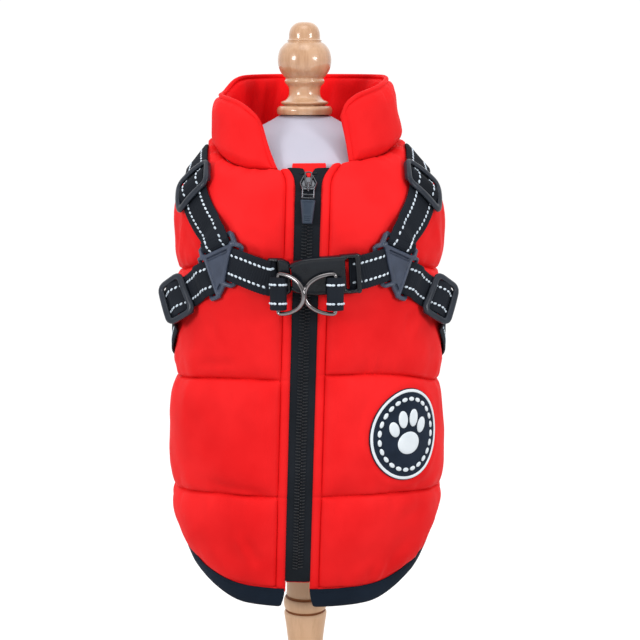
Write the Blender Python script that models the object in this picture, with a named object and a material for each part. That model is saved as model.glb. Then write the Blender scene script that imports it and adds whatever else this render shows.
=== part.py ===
"""A dog's padded winter coat with a built-in harness, worn by a limbless dress form on a turned stand.

The zipped side faces -Y and +X is to the right. Sizes are in millimetres, and make_object turns them
into metres. The cloth and the harness are laid out on one skin, the coat's inner line: a point there
is an angle round the body from the zip (positive towards +X), a length up the body line from the
profile's foot, and a distance out from it.
"""

import math

import bmesh
import bpy
from mathutils import Matrix, Vector

MM = 0.001
SEAM_GAP = 0.3
DEPTH_RATIO = 0.855
# Where blocks cross in one body, one stops this far short of the other's faces.
STEP = 0.3

# The coat's inner line: half width, height, sideways lean.
BODY_LINE = [
    (67.0, 104.0, 0.3), (70.0, 112.0, 0.5), (72.4, 122.0, 0.7), (74.6, 136.0, 0.9),
    (77.2, 154.0, 1.1), (78.3, 174.0, 1.0), (78.0, 200.0, 0.9), (76.2, 232.0, 1.6),
    (75.0, 251.0, 2.2), (74.6, 270.0, 2.5), (74.8, 300.0, 2.5), (75.0, 318.0, 2.5),
    (75.4, 334.0, 2.9), (73.4, 345.0, 2.7), (68.4, 355.0, 2.3), (61.0, 364.0, 1.9),
    (54.0, 372.3, 1.5), (47.2, 379.0, 1.0), (39.5, 384.5, 0.5), (31.0, 389.0, 0.2),
    (22.5, 393.3, 0.0), (16.0, 397.0, 0.0),
]

# Lines across the coat: angle from the zip in degrees, length up the body line.
HEM_FOOT = [
    (-180.0, 81.0), (-125.0, 74.0), (-110.0, 63.5), (-90.0, 43.5), (-80.0, 32.0), (-68.0, 21.0),
    (-58.0, 13.5), (-40.0, 6.5), (-28.0, 4.6), (0.0, 4.5), (28.0, 4.6), (40.0, 6.5), (58.0, 14.0),
    (68.0, 22.0), (80.0, 33.5), (90.0, 45.0), (110.0, 64.5), (125.0, 74.5), (180.0, 81.0),
]
NECK_SEAM = [
    (-180.0, 292.0), (-120.0, 291.0), (-80.0, 285.0), (-60.0, 276.5), (-45.0, 270.0), (-33.0, 267.0),
    (-12.0, 267.0), (0.0, 268.5), (25.0, 272.0), (38.0, 273.5), (50.0, 277.0), (60.0, 281.0),
    (78.0, 287.0), (120.0, 291.0), (180.0, 292.0),
]
# Each cross quilting line: its length up the body line at the zip, and how far it drops at the sides.
QUILT_LINES = [(73.5, 12.0), (143.5, 13.0), (212.0, 12.0)]
# Where the hem climbs, a quilting line stays at least this far above it.
LEAST_BAND = 6.0
HEM_BINDING = 10.0
HEM_GAP = 0.6
HEM_THICK = 4.2

SEWN = 3.3
PAD_RISE = 4.9
PLACKET_ROLL = 0.9
PAD_SHOULDER = 16.0
SIDE_SEAM = 125.0

# The zip leans a little: its centre's x at two heights.
ZIP_TOP = (3.0, 368.0)
ZIP_FOOT = (-4.0, 122.0)
ZIP_HALF = 7.2
ZIP_FOOT_UP = 18.6
PLACKET = 6.0
CHAIN_HALF = 2.7
GUARD_OUT = (0.3, 1.3)
# The flap behind the zip above the panels' top edges: length up, half width.
GUARD_HEAD = [(270.6, 6.8), (272.0, 10.4), (277.0, 10.4), (279.0, 8.6)]
TAPE_TOP_UP = 266.0
CHAIN_TOP_UP = 262.0
TAPE_OUT = (1.7, 2.7)
CHAIN_OUT = (1.7, 3.6)
SLIDER_UP = 256.5

ARMHOLE_UP = 197.0
ARMHOLE_HALF_WIDE = 26.0
ARMHOLE_HALF_TALL = 30.0
ARMHOLE_BIND = 2.6

# The collar's rim: angle, height. It runs round the back from the right front edge.
RIM_HEIGHT = [
    (24.0, 401.0), (29.0, 405.0), (38.0, 409.5), (55.0, 413.5), (72.0, 417.5), (88.0, 420.0),
    (110.0, 421.5), (180.0, 422.0), (226.0, 421.5), (242.0, 419.5), (262.0, 411.8), (285.0, 410.0),
    (305.0, 408.6), (318.0, 404.8), (324.0, 401.5), (329.0, 398.0),
]
RIM_HALF = (49.6, 45.0)
RIM_LEAN = 1.2
COLLAR_THICK = 8.4
COLLAR_GAP = 0.45
COLLAR_EDGE = 3.0
# How far the collar bows out between its seam and its rim: angle, distance.
COLLAR_BOW = [
    (24.0, 1.6), (45.0, 2.6), (75.0, 6.2), (95.0, 7.0), (130.0, 4.0), (180.0, 2.0), (230.0, 2.6),
    (265.0, 4.4), (290.0, 4.0), (312.0, 2.4), (329.0, 1.6),
]
COLLAR_BASE_EDGES = (25.0, 344.0)
COLLAR_TOP_EDGES = (24.0, 329.0)
# About how long the collar is round its middle, and how far its padding takes to rise from a free edge.
COLLAR_RUN = 290.0
COLLAR_SHOULDER = 7.0

WEB_WIDE = 20.0
WEB_THICK = 1.4
WEB_OUT = 9.1
# The room beside a strap in a slot.
WEB_PLAY = 0.9
BAR_TOP = 11.5
HARD_FOOT = 9.3
WEB_OVER_BAR = 11.9

# Harness webbing beyond the right yoke: angle, length up the body line. The left side mirrors it.
NECK_ROUTE = [
    (46.2, 232.6), (51.2, 238.6), (56.2, 244.6), (60.5, 251.0), (66.0, 259.0), (73.0, 266.5),
    (84.0, 271.0), (100.0, 267.5), (125.0, 257.0), (150.0, 249.0), (180.0, 246.0),
]
GIRTH_ROUTE = [
    (55.2, 192.6), (62.5, 186.6), (72.0, 177.0), (81.0, 167.0), (91.0, 157.5), (103.0, 151.0),
    (118.0, 148.0), (145.0, 146.5), (180.0, 146.0),
]

YOKE = (39.0, 210.5)
# The yoke's middle plate: outward, up. Each arm leaves from one edge of it.
YOKE_PLATE = [(-11.5, 12.4), (8.6, 3.0), (-1.2, -20.0), (-5.6, -12.0)]
YOKE_TOP = 13.0
BAR = 2.8
SLOT = 4.2
NECK_GLIDE = (60.2, 250.6)
GIRTH_GLIDE = (62.5, 186.4)
GLIDE_LONG = 20.0
GLIDE_WIDE = 27.4
GLIDE_TOP = 13.4
# A girth glide's far end stands off the coat, and the strap comes back down over a length beyond it.
GIRTH_STAND = 8.0
GIRTH_RETURN = 14.0

BUCKLE_UP = 204.7
BUCKLE_TURN = 3.3
BUCKLE_X = (-20.0, -2.6, 32.0)
BUCKLE_TALL = 25.0
BUCKLE_OUT = (9.3, 17.0)

RING_TALL = 25.0
RING_DEEP = 18.0
RING_WIRE = 1.1
RING_Z = 298.0
LOOP_SIZE = (9.5, 5.8, 18.8)
# Each D-ring: its bar's x, how far it is lifted in degrees, and the distance out of what its loop lies on.
RING_LEFT = (-14.2, 30.0, 15.8)
RING_RIGHT = (18.1, 5.0, 17.0)

PATCH = (43.5, 106.5)
PATCH_HALF = 27.5
PATCH_THICK = 1.2
PATCH_GAP = 0.5

# The stand's turned pieces: radius, height.
FINIAL = [
    (16.6, 397.4), (16.9, 398.6), (16.9, 400.6), (15.6, 402.3), (12.4, 402.8), (14.2, 403.8),
    (14.2, 405.0), (11.6, 406.3), (9.9, 408.4), (9.5, 411.0), (9.9, 414.0), (11.8, 416.3),
    (12.1, 417.6), (11.6, 419.1), (13.2, 421.0), (15.2, 424.2), (16.2, 428.0), (16.2, 432.0),
    (15.0, 436.4), (12.3, 439.8), (10.3, 441.0), (10.5, 441.9), (9.6, 442.8), (9.3, 446.5),
    (8.0, 449.8), (5.4, 452.1), (2.6, 452.9),
]
POST = [
    (12.6, 17.0), (12.0, 20.0), (10.9, 28.0), (10.9, 50.0), (11.3, 61.0), (12.6, 72.0),
    (13.6, 79.0), (13.2, 80.8), (11.9, 81.7), (11.9, 82.3), (13.3, 83.2), (13.9, 86.5),
    (13.3, 89.8), (11.6, 90.7), (11.6, 91.5), (12.2, 92.6), (12.0, 95.0), (12.0, 117.4),
]
BASE = [(89.5, 0.0), (93.0, 3.0), (93.0, 9.0), (90.0, 13.0), (82.0, 15.2), (62.0, 16.7)]
FORM_FOOT = [(20.0, 117.7), (40.0, 118.6), (56.0, 121.0), (65.0, 126.0)]
FORM_GAP = 1.0

COLOURS = {
    "red_cloth": ((0.82, 0.03, 0.03), 0.62, 0.0),
    "navy_binding": ((0.012, 0.02, 0.035), 0.7, 0.0),
    "webbing": ((0.018, 0.022, 0.032), 0.75, 0.0),
    "slate_plastic": ((0.07, 0.095, 0.15), 0.45, 0.0),
    "black_plastic": ((0.013, 0.016, 0.022), 0.35, 0.0),
    "zip_tape": ((0.014, 0.017, 0.022), 0.8, 0.0),
    "zip_metal": ((0.42, 0.43, 0.45), 0.3, 1.0),
    "grip_rubber": ((0.04, 0.05, 0.08), 0.55, 0.0),
    "ring_metal": ((0.45, 0.45, 0.47), 0.18, 1.0),
    "form_cloth": ((0.72, 0.71, 0.78), 0.7, 0.0),
    "turned_wood": ((0.62, 0.42, 0.26), 0.35, 0.0),
    "patch_rubber": ((0.02, 0.03, 0.055), 0.5, 0.0),
}


# ---------- the skin that everything lies on ----------


def curve_through(rows, steps):
    """Points on a smooth curve through the rows of a table."""
    rows = [Vector(row) for row in rows]
    rows = [2 * rows[0] - rows[1]] + rows + [2 * rows[-1] - rows[-2]]
    points = []
    for before, start, end, after in zip(rows, rows[1:], rows[2:], rows[3:]):
        for step in range(steps):
            f = step / steps
            points.append(
                0.5 * (2 * start + (end - before) * f
                       + (2 * before - 5 * start + 4 * end - after) * f * f
                       + (3 * start - before - 3 * end + after) * f ** 3)
            )
    points.append(rows[-2])
    return points


def read_table(table, where):
    """The value at where, between the rows of a table, eased so that its slope has no corners."""
    where = min(max(where, table[0][0]), table[-1][0])
    last = len(table) - 1
    i = 0
    while i < last - 1 and where > table[i + 1][0]:
        i += 1
    low, high = table[i], table[i + 1]

    def slope(k):
        a, b = table[max(k - 1, 0)], table[min(k + 1, last)]
        return (b[1] - a[1]) / (b[0] - a[0])

    span = high[0] - low[0]
    f = (where - low[0]) / span
    rise = (2 * f ** 3 - 3 * f ** 2 + 1) * low[1] + (3 * f ** 2 - 2 * f ** 3) * high[1]
    lean = (f ** 3 - 2 * f ** 2 + f) * slope(i) + (f ** 3 - f ** 2) * slope(i + 1)
    return rise + span * lean


LINE = curve_through(BODY_LINE, 10)
LENGTHS = [0.0]
for before, after in zip(LINE, LINE[1:]):
    LENGTHS.append(LENGTHS[-1] + (after.xy - before.xy).length)


def body_line(up):
    """Half width, height and lean of the inner line at a length up it."""
    low, high = 0, len(LENGTHS) - 1
    while high - low > 1:
        middle = (low + high) // 2
        if LENGTHS[middle] <= up:
            low = middle
        else:
            high = middle
    return LINE[low].lerp(LINE[high], (up - LENGTHS[low]) / (LENGTHS[high] - LENGTHS[low]))


def on_line(degrees, up):
    half, height, lean = body_line(up)
    turn = math.radians(degrees)
    return Vector((half * math.sin(turn) + lean, -DEPTH_RATIO * half * math.cos(turn), height))


def outward(degrees, up):
    across = on_line(degrees + 0.5, up) - on_line(degrees - 0.5, up)
    along = on_line(degrees, up + 1.0) - on_line(degrees, up - 1.0)
    return across.cross(along).normalized()


def on_skin(degrees, up, out):
    return on_line(degrees, up) + out * outward(degrees, up)


def degrees_per_mm(degrees, up):
    """How far round one millimetre goes, measured where the harness lies."""
    across = on_skin(degrees + 0.5, up, WEB_OUT) - on_skin(degrees - 0.5, up, WEB_OUT)
    return 1.0 / across.length


def zip_degrees(off_centre, up):
    """The angle of a point beside the zip's centre line."""
    half, height, lean = body_line(up)
    f = (height - ZIP_FOOT[1]) / (ZIP_TOP[1] - ZIP_FOOT[1])
    x = ZIP_FOOT[0] + f * (ZIP_TOP[0] - ZIP_FOOT[0]) + off_centre
    return math.degrees(math.asin((x - lean) / half))


def front_degrees(x, up):
    half, _, lean = body_line(up)
    return math.degrees(math.asin((x - lean) / half))


# ---------- making meshes ----------


def material_for(slot):
    colour, roughness, metallic = COLOURS[slot]
    material = bpy.data.materials.get(slot) or bpy.data.materials.new(slot)
    material.use_nodes = True
    shader = material.node_tree.nodes["Principled BSDF"]
    shader.inputs["Base Color"].default_value = (*colour, 1.0)
    shader.inputs["Roughness"].default_value = roughness
    shader.inputs["Metallic"].default_value = metallic
    return material


def make_object(name, points, faces, slot, origin=(0.0, 0.0, 0.0)):
    """A named object of closed faces, its points given in millimetres in the part's frame."""
    origin = Vector(origin)
    mesh = bpy.data.meshes.new(name)
    mesh.from_pydata([(Vector(point) - origin) * MM for point in points], [], faces)
    shape = bmesh.new()
    shape.from_mesh(mesh)
    bmesh.ops.recalc_face_normals(shape, faces=shape.faces)
    shape.to_mesh(mesh)
    shape.free()
    mesh.materials.append(material_for(slot))
    mesh.shade_smooth()
    mesh.set_sharp_from_angle(angle=math.radians(40.0))
    piece = bpy.data.objects.new(name, mesh)
    piece.location = origin * MM
    bpy.context.scene.collection.objects.link(piece)
    return piece


def wall(name, slot, outer, inner):
    """A wall between two grids of points that have the same rows and columns."""
    rows, columns = len(outer), len(outer[0])
    points = [point for row in outer for point in row] + [point for row in inner for point in row]
    shift = rows * columns

    def at(row, column):
        return row * columns + column

    faces = []
    for r in range(rows - 1):
        for c in range(columns - 1):
            corners = [at(r, c), at(r, c + 1), at(r + 1, c + 1), at(r + 1, c)]
            faces.append(corners)
            faces.append([shift + k for k in reversed(corners)])
    rim = [at(0, c) for c in range(columns)] + [at(r, columns - 1) for r in range(1, rows)]
    rim += [at(rows - 1, c) for c in range(columns - 2, -1, -1)]
    rim += [at(r, 0) for r in range(rows - 2, 0, -1)]
    for a, b in zip(rim, rim[1:] + rim[:1]):
        faces.append([b, a, shift + a, shift + b])
    return make_object(name, points, faces, slot)


def loft(name, slot, rings, ring_round=False, origin=(0.0, 0.0, 0.0)):
    """A body through rings of points, capped at both ends unless the rings run round."""
    count = len(rings[0])
    points = [point for ring in rings for point in ring]
    faces = []
    pairs = len(rings) if ring_round else len(rings) - 1
    for r in range(pairs):
        after = (r + 1) % len(rings)
        for k in range(count):
            n = (k + 1) % count
            faces.append([r * count + k, r * count + n, after * count + n, after * count + k])
    if not ring_round:
        faces.append(list(range(count)))
        faces.append([(len(rings) - 1) * count + k for k in range(count)])
    return make_object(name, points, faces, slot, origin)


def turned(name, slot, profile, sides, depth_ratio=1.0):
    """A body turned about the stand's axis by spinning its profile."""
    shape = bmesh.new()
    edge = [shape.verts.new((radius * MM, 0.0, height * MM)) for radius, height in profile]
    for a, b in zip(edge, edge[1:]):
        shape.edges.new((a, b))
    bmesh.ops.spin(
        shape, geom=shape.verts[:] + shape.edges[:], axis=(0, 0, 1), cent=(0, 0, 0),
        angle=math.tau, steps=sides, use_merge=True,
    )
    bmesh.ops.remove_doubles(shape, verts=shape.verts, dist=0.00001)
    bmesh.ops.holes_fill(shape, edges=[e for e in shape.edges if e.is_boundary], sides=0)
    bmesh.ops.scale(shape, vec=(1.0, depth_ratio, 1.0), verts=shape.verts)
    bmesh.ops.recalc_face_normals(shape, faces=shape.faces)
    mesh = bpy.data.meshes.new(name)
    shape.to_mesh(mesh)
    shape.free()
    mesh.materials.append(material_for(slot))
    mesh.shade_smooth()
    mesh.set_sharp_from_angle(angle=math.radians(40.0))
    piece = bpy.data.objects.new(name, mesh)
    bpy.context.scene.collection.objects.link(piece)
    return piece


def block(outline, low, high):
    """A flat prism, as its own mesh object: the outline's points are outward, up."""
    shape = bmesh.new()
    base = shape.faces.new([shape.verts.new((u, v, low)) for u, v in outline])
    top = bmesh.ops.extrude_face_region(shape, geom=[base])
    raised = [part for part in top["geom"] if isinstance(part, bmesh.types.BMVert)]
    bmesh.ops.translate(shape, vec=(0.0, 0.0, high - low), verts=raised)
    bmesh.ops.recalc_face_normals(shape, faces=shape.faces)
    mesh = bpy.data.meshes.new("block")
    shape.to_mesh(mesh)
    shape.free()
    piece = bpy.data.objects.new("block", mesh)
    bpy.context.scene.collection.objects.link(piece)
    piece.hide_render = True
    piece.display_type = "WIRE"
    return piece


def joined(blocks, bevel=0.0):
    """The blocks as one closed mesh, its edges eased by bevel. The blocks themselves are removed."""
    first, rest = blocks[0], blocks[1:]
    for other in rest:
        union = first.modifiers.new("join", "BOOLEAN")
        union.operation = "UNION"
        union.object = other
    if bevel:
        ease = first.modifiers.new("ease", "BEVEL")
        ease.width = bevel
        ease.segments = 1
        ease.limit_method = "ANGLE"
    bpy.context.view_layer.update()
    graph = bpy.context.evaluated_depsgraph_get()
    mesh = bpy.data.meshes.new_from_object(first.evaluated_get(graph))
    for piece in blocks:
        bpy.data.objects.remove(piece)
    return mesh


def bent_onto_coat(name, slot, mesh, centre, turn, side):
    """The flat mesh laid on the coat: outward, up, out become angle, length up, distance out."""
    shape = bmesh.new()
    shape.from_mesh(mesh)
    lows = [min(v.co[k] for v in shape.verts) for k in (0, 1)]
    highs = [max(v.co[k] for v in shape.verts) for k in (0, 1)]
    for axis in (0, 1):
        cuts = max(1, round((highs[axis] - lows[axis]) / 8.0))
        normal = (1.0, 0.0, 0.0) if axis == 0 else (0.0, 1.0, 0.0)
        for cut in range(1, cuts):
            place = lows[axis] + (highs[axis] - lows[axis]) * cut / cuts
            bmesh.ops.bisect_plane(
                shape, geom=shape.verts[:] + shape.edges[:] + shape.faces[:], dist=0.001,
                plane_co=Vector(normal) * place, plane_no=normal,
            )
    bmesh.ops.triangulate(shape, faces=shape.faces)
    per_mm = degrees_per_mm(*centre)
    cos, sin = math.cos(math.radians(turn)), math.sin(math.radians(turn))
    points = []
    for vert in shape.verts:
        u, v, out = vert.co
        degrees = centre[0] + (u * cos - v * sin) * per_mm
        points.append(on_skin(side * degrees, centre[1] + u * sin + v * cos, out))
    faces = [[v.index for v in face.verts] for face in shape.faces]
    shape.free()
    return make_object(name, points, faces, slot)


def rectangle(u0, u1, v0, v1):
    return [(u0, v0), (u1, v0), (u1, v1), (u0, v1)]


# ---------- the padded coat ----------


def swell(distance, reach):
    """From 0 at a seam to 1 a reach away, as a filled channel rises."""
    f = min(max(distance / reach, 0.0), 1.0)
    return math.sqrt(1.0 - (1.0 - f) ** 2)


def level_lines(degrees):
    """The lengths up the body line of the bottom, each quilting line and the neck seam."""
    side = math.sin(math.radians(degrees)) ** 2 if abs(degrees) < 90.0 else 1.0
    lines = [read_table(HEM_FOOT, degrees) + HEM_BINDING + HEM_GAP]
    for up, drop in QUILT_LINES:
        gap = up - drop * side - lines[-1] - LEAST_BAND
        lines.append(lines[-1] + LEAST_BAND + 0.5 * (gap + math.hypot(gap, LEAST_BAND)))
    lines.append(read_table(NECK_SEAM, degrees))
    return lines


def armhole_distance(degrees, up):
    across = (abs(degrees) - SIDE_SEAM) / degrees_per_mm(SIDE_SEAM, ARMHOLE_UP)
    reach = math.hypot(across / ARMHOLE_HALF_WIDE, (up - ARMHOLE_UP) / ARMHOLE_HALF_TALL)
    return (reach - 1.0) * ARMHOLE_HALF_WIDE


def pad_out(degrees, up, band, seam_distance, edge_distance):
    """The padded wall's thickness at a place."""
    if edge_distance is not None and edge_distance < PLACKET:
        return SEWN + PLACKET_ROLL * math.sin(math.pi * edge_distance / PLACKET)
    rise = swell(band, PAD_SHOULDER) * swell(seam_distance, PAD_SHOULDER)
    rise *= swell(armhole_distance(degrees, up), PAD_SHOULDER)
    if edge_distance is not None:
        rise *= swell(edge_distance - PLACKET, PAD_SHOULDER)
    return SEWN + PAD_RISE * rise


# Rows of a panel between two cross seams, and in the band that goes over the shoulder.
BAND_STEPS = [0.0, 0.08, 0.3, 0.7, 0.92]
SHOULDER_STEPS = [0.0, 0.07, 0.2, 0.36, 0.52, 0.67, 0.81, 0.94]
PANEL_ROWS = len(QUILT_LINES) * len(BAND_STEPS) + len(SHOULDER_STEPS) + 1


def rows_at(degrees):
    """Each row of a panel: its length up the body line, and its distance to the nearest cross seam."""
    lines = level_lines(degrees)
    rows = []
    for band, (low, high) in enumerate(zip(lines, lines[1:])):
        for step in SHOULDER_STEPS if band == len(QUILT_LINES) else BAND_STEPS:
            up = low + (high - low) * step
            rows.append((up, min(up - low, high - up)))
    rows.append((lines[-1], 0.0))
    return rows


def side_panel(name, side):
    """One side of the back, from the zip to the side seam."""
    columns = [0.0, 1.4, 4.6, PLACKET, 7.6, 12.0]
    spread = 12
    count = len(columns) + spread
    outer = []
    inner = []
    for row in range(PANEL_ROWS):
        outer_row = []
        inner_row = []
        for column in range(count):
            degrees = side * SIDE_SEAM * column / count
            for _ in range(6):
                up, cross = rows_at(degrees)[row]
                edge = zip_degrees(side * ZIP_HALF, up)
                seam = side * (SIDE_SEAM - 0.5 * SEAM_GAP * degrees_per_mm(SIDE_SEAM, up))
                mm = degrees_per_mm(edge, up)
                last_fixed = edge + side * columns[-1] * mm
                if column < len(columns):
                    degrees = edge + side * columns[column] * mm
                else:
                    f = (column - len(columns) + 1) / spread
                    f = f + 0.45 * f * (1.0 - f) * (2.0 * f - 0.6)
                    degrees = last_fixed + (seam - last_fixed) * f
            from_edge = abs(degrees - edge) / mm
            from_seam = abs(seam - degrees) / degrees_per_mm(degrees, up)
            outer_row.append(on_skin(degrees, up, pad_out(degrees, up, cross, from_seam, from_edge)))
            inner_row.append(on_skin(degrees, up, 0.0))
        outer.append(outer_row)
        inner.append(inner_row)
    return wall(name, "red_cloth", outer, inner)


def belly_panel(name):
    """The panel between the side seams."""
    columns = 12
    outer = []
    inner = []
    for row in range(PANEL_ROWS):
        outer_row = []
        inner_row = []
        for column in range(columns + 1):
            f = column / columns
            f = f + 0.5 * f * (1.0 - f) * (2.0 * f - 1.0)
            seam = SIDE_SEAM + 0.5 * SEAM_GAP * degrees_per_mm(SIDE_SEAM, ARMHOLE_UP)
            degrees = seam + (360.0 - 2.0 * seam) * f
            signed = degrees if degrees <= 180.0 else degrees - 360.0
            up, cross = rows_at(signed)[row]
            from_seam = (abs(signed) - seam) / degrees_per_mm(degrees, up)
            outer_row.append(on_skin(degrees, up, pad_out(signed, up, cross, from_seam, None)))
            inner_row.append(on_skin(degrees, up, 0.0))
        outer.append(outer_row)
        inner.append(inner_row)
    return wall(name, "red_cloth", outer, inner)


def armhole_ring(side, grow, out, count=28):
    """Points round an armhole, its half sizes grown by grow, at a distance out of the skin."""
    per_mm = degrees_per_mm(SIDE_SEAM, ARMHOLE_UP)
    points = []
    for k in range(count):
        turn = math.tau * k / count
        degrees = SIDE_SEAM + (ARMHOLE_HALF_WIDE + grow) * math.cos(turn) * per_mm
        up = ARMHOLE_UP + (ARMHOLE_HALF_TALL + grow) * math.sin(turn)
        points.append(on_skin(side * degrees, up, out))
    return points


def cut_armhole(panels, side):
    """Cuts one armhole through the panels that meet in it."""
    rings = [armhole_ring(side, 0.0, out) for out in (-3.0, 16.0)]
    cutter = loft("armhole_cutter", "red_cloth", rings)
    cutter.hide_render = True
    cutter.display_type = "WIRE"
    for panel in panels:
        cut = panel.modifiers.new("armhole", "BOOLEAN")
        cut.operation = "DIFFERENCE"
        cut.object = cutter


def armhole_binding(name, side):
    """The narrow band that edges an armhole."""
    section = [
        (-SEAM_GAP, 0.3), (-SEAM_GAP, 3.9), (-SEAM_GAP - 0.5, 4.5), (-ARMHOLE_BIND, 4.5),
        (-ARMHOLE_BIND - 0.4, 3.9), (-ARMHOLE_BIND - 0.4, 0.3),
    ]
    tracks = [armhole_ring(side, grow, out) for grow, out in section]
    loft(name, "navy_binding", list(zip(*tracks)), ring_round=True)


def hem_band(name, start, end, at_zip):
    """A stretch of the dark hem binding between two angles."""
    section = [
        (HEM_BINDING, 0.0), (HEM_BINDING, HEM_THICK - 0.5), (HEM_BINDING - 0.8, HEM_THICK),
        (1.2, HEM_THICK), (0.0, HEM_THICK - 1.2), (0.0, 1.0), (0.8, 0.0),
    ]
    count = max(4, round(abs(end - start) / 6.5))
    rings = []
    for k in range(count + 1):
        f = k / count
        ring = []
        for up_from_hem, out in section:
            splay = 2.4 * (1.0 - up_from_hem / HEM_BINDING)
            first = start
            last = end
            if at_zip:
                edge = zip_degrees(at_zip * (ZIP_HALF + splay), 8.0)
                first, last = (edge, end) if at_zip > 0 else (start, edge)
            degrees = first + (last - first) * f
            signed = degrees if degrees <= 180.0 else degrees - 360.0
            ring.append(on_skin(degrees, read_table(HEM_FOOT, signed) + up_from_hem, out))
        rings.append(ring)
    loft(name, "navy_binding", rings)


def collar():
    """The padded stand-up collar, open at the zip, its right edge first and then round the back."""
    edge = [0.0, 0.006, 0.02, 0.045]
    columns = edge + [0.08 + 0.84 * k / 23 for k in range(24)] + [1.0 - c for c in reversed(edge)]
    rows = [0.0, 0.06, 0.18, 0.38, 0.6, 0.8, 0.92, 0.975, 1.0]
    outer = []
    inner = []
    for v in rows:
        outer_row = []
        inner_row = []
        for c in columns:
            base = COLLAR_BASE_EDGES[0] + (COLLAR_BASE_EDGES[1] - COLLAR_BASE_EDGES[0]) * c
            top = COLLAR_TOP_EDGES[0] + (COLLAR_TOP_EDGES[1] - COLLAR_TOP_EDGES[0]) * c
            signed = base if base <= 180.0 else base - 360.0
            seam = read_table(NECK_SEAM, signed) + COLLAR_GAP
            foot_in = on_skin(base, seam, 0.7)
            foot_out = on_skin(base, seam, COLLAR_EDGE + 1.2)
            foot = (foot_in + foot_out) / 2
            turn = math.radians(top)
            level = read_table(RIM_HEIGHT, top)
            rim = Vector((
                RIM_HALF[0] * math.sin(turn) + RIM_LEAN, -RIM_HALF[1] * math.cos(turn), level,
            ))
            away = Vector((math.sin(turn), -math.cos(turn), 0.0))
            middle = foot.lerp(rim, v) + away * read_table(COLLAR_BOW, top) * math.sin(math.pi * v ** 0.75)
            height = (rim - foot).length
            round_off = swell(height * v + 1.0, 9.0) * swell(height * (1.0 - v), COLLAR_SHOULDER)
            for from_front in (COLLAR_RUN * c, COLLAR_RUN * (1.0 - c)):
                round_off *= swell(from_front + SEAM_GAP, COLLAR_SHOULDER)
            half = 0.5 * (COLLAR_EDGE + (COLLAR_THICK - COLLAR_EDGE) * round_off)
            tilt = (foot_out - foot_in).normalized()
            across = tilt.lerp(away, min(1.0, v * 4.0)).normalized()
            outer_row.append(middle + across * half if v > 0.0 else foot_out)
            inner_row.append(middle - across * half if v > 0.0 else foot_in)
        outer.append(outer_row)
        inner.append(inner_row)
    wall("collar", "red_cloth", outer, inner)


# ---------- the zip ----------


def zip_band(name, slot, sides, top_up, out):
    """A flat band along the zip, between two distances from its centre line."""
    rings = []
    rows = 18
    for k in range(rows + 1):
        up = ZIP_FOOT_UP + (top_up - ZIP_FOOT_UP) * k / rows
        left = zip_degrees(sides[0], up)
        right = zip_degrees(sides[1], up)
        middle = (left + right) / 2
        rings.append([
            on_skin(left, up, out[0]), on_skin(middle, up, out[0]), on_skin(right, up, out[0]),
            on_skin(right, up, out[1]), on_skin(middle, up, out[1]), on_skin(left, up, out[1]),
        ])
    loft(name, slot, rings)


def zip_guard():
    """The flap behind the zip. It widens above the panels' top edges."""
    foot = 5.0
    count = 20
    shaft = [(foot + (CHAIN_TOP_UP - foot) * k / count, GUARD_HEAD[0][1]) for k in range(count + 1)]
    rings = []
    for up, half in shaft + GUARD_HEAD:
        row = [zip_degrees(f * half, up) for f in (-1.0, 0.0, 1.0)]
        back = [on_skin(at, up, GUARD_OUT[0]) for at in row]
        face = [on_skin(at, up, GUARD_OUT[1]) for at in reversed(row)]
        rings.append(back + face)
    loft("zip_guard", "red_cloth", rings)


def zip_frame():
    """The slider's place: its axes are right, up the zip and out, in millimetres."""
    at = zip_degrees(0.0, SLIDER_UP)
    out = outward(at, SLIDER_UP)
    up = out.cross(Vector((1.0, 0.0, 0.0))).normalized()
    frame = Matrix((up.cross(out), up, out)).transposed().to_4x4()
    frame.translation = on_skin(at, SLIDER_UP, CHAIN_OUT[1])
    return frame


def placed(name, slot, mesh, frame, origin=(0.0, 0.0, 0.0)):
    points = [frame @ vert.co for vert in mesh.vertices]
    faces = [list(face.vertices) for face in mesh.polygons]
    return make_object(name, points, faces, slot, origin)


# The slider's own sizes: right, up the zip, out from the chain.
SLIDER_BODY = [(-5.4, -1.5), (-4.2, -5.4), (4.2, -5.4), (5.4, -1.5), (5.0, 4.4), (-5.0, 4.4)]
SLIDER_OUT = (0.4, 2.6)
HINGE_IN_SLIDER = (0.0, -4.6, 4.3)
# The bridge over the hinge runs up the zip from its front to its back, and a post carries each end.
BRIDGE = (-7.0, 3.8)
BRIDGE_OUT = (5.4, 6.6)
BRIDGE_HALF = 1.1
POST_HALF = 1.0
FRONT_POST = (-6.8, -5.9)
FRONT_POST_FOOT = 3.2
BACK_POST = (2.2, 3.6)
PULL_WIRE = 1.2
PULL_LOOP = 7.7
PULL_FOOT_BAR = 1.6
GRIP_LONG = 14.0
GRIP_THICK = 2.6
# The grip's outline narrows to its foot: half width, distance down from its top.
GRIP_OUTLINE = [(3.4, 0.0), (4.4, 1.0), (3.0, GRIP_LONG - 1.0), (2.0, GRIP_LONG)]


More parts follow.
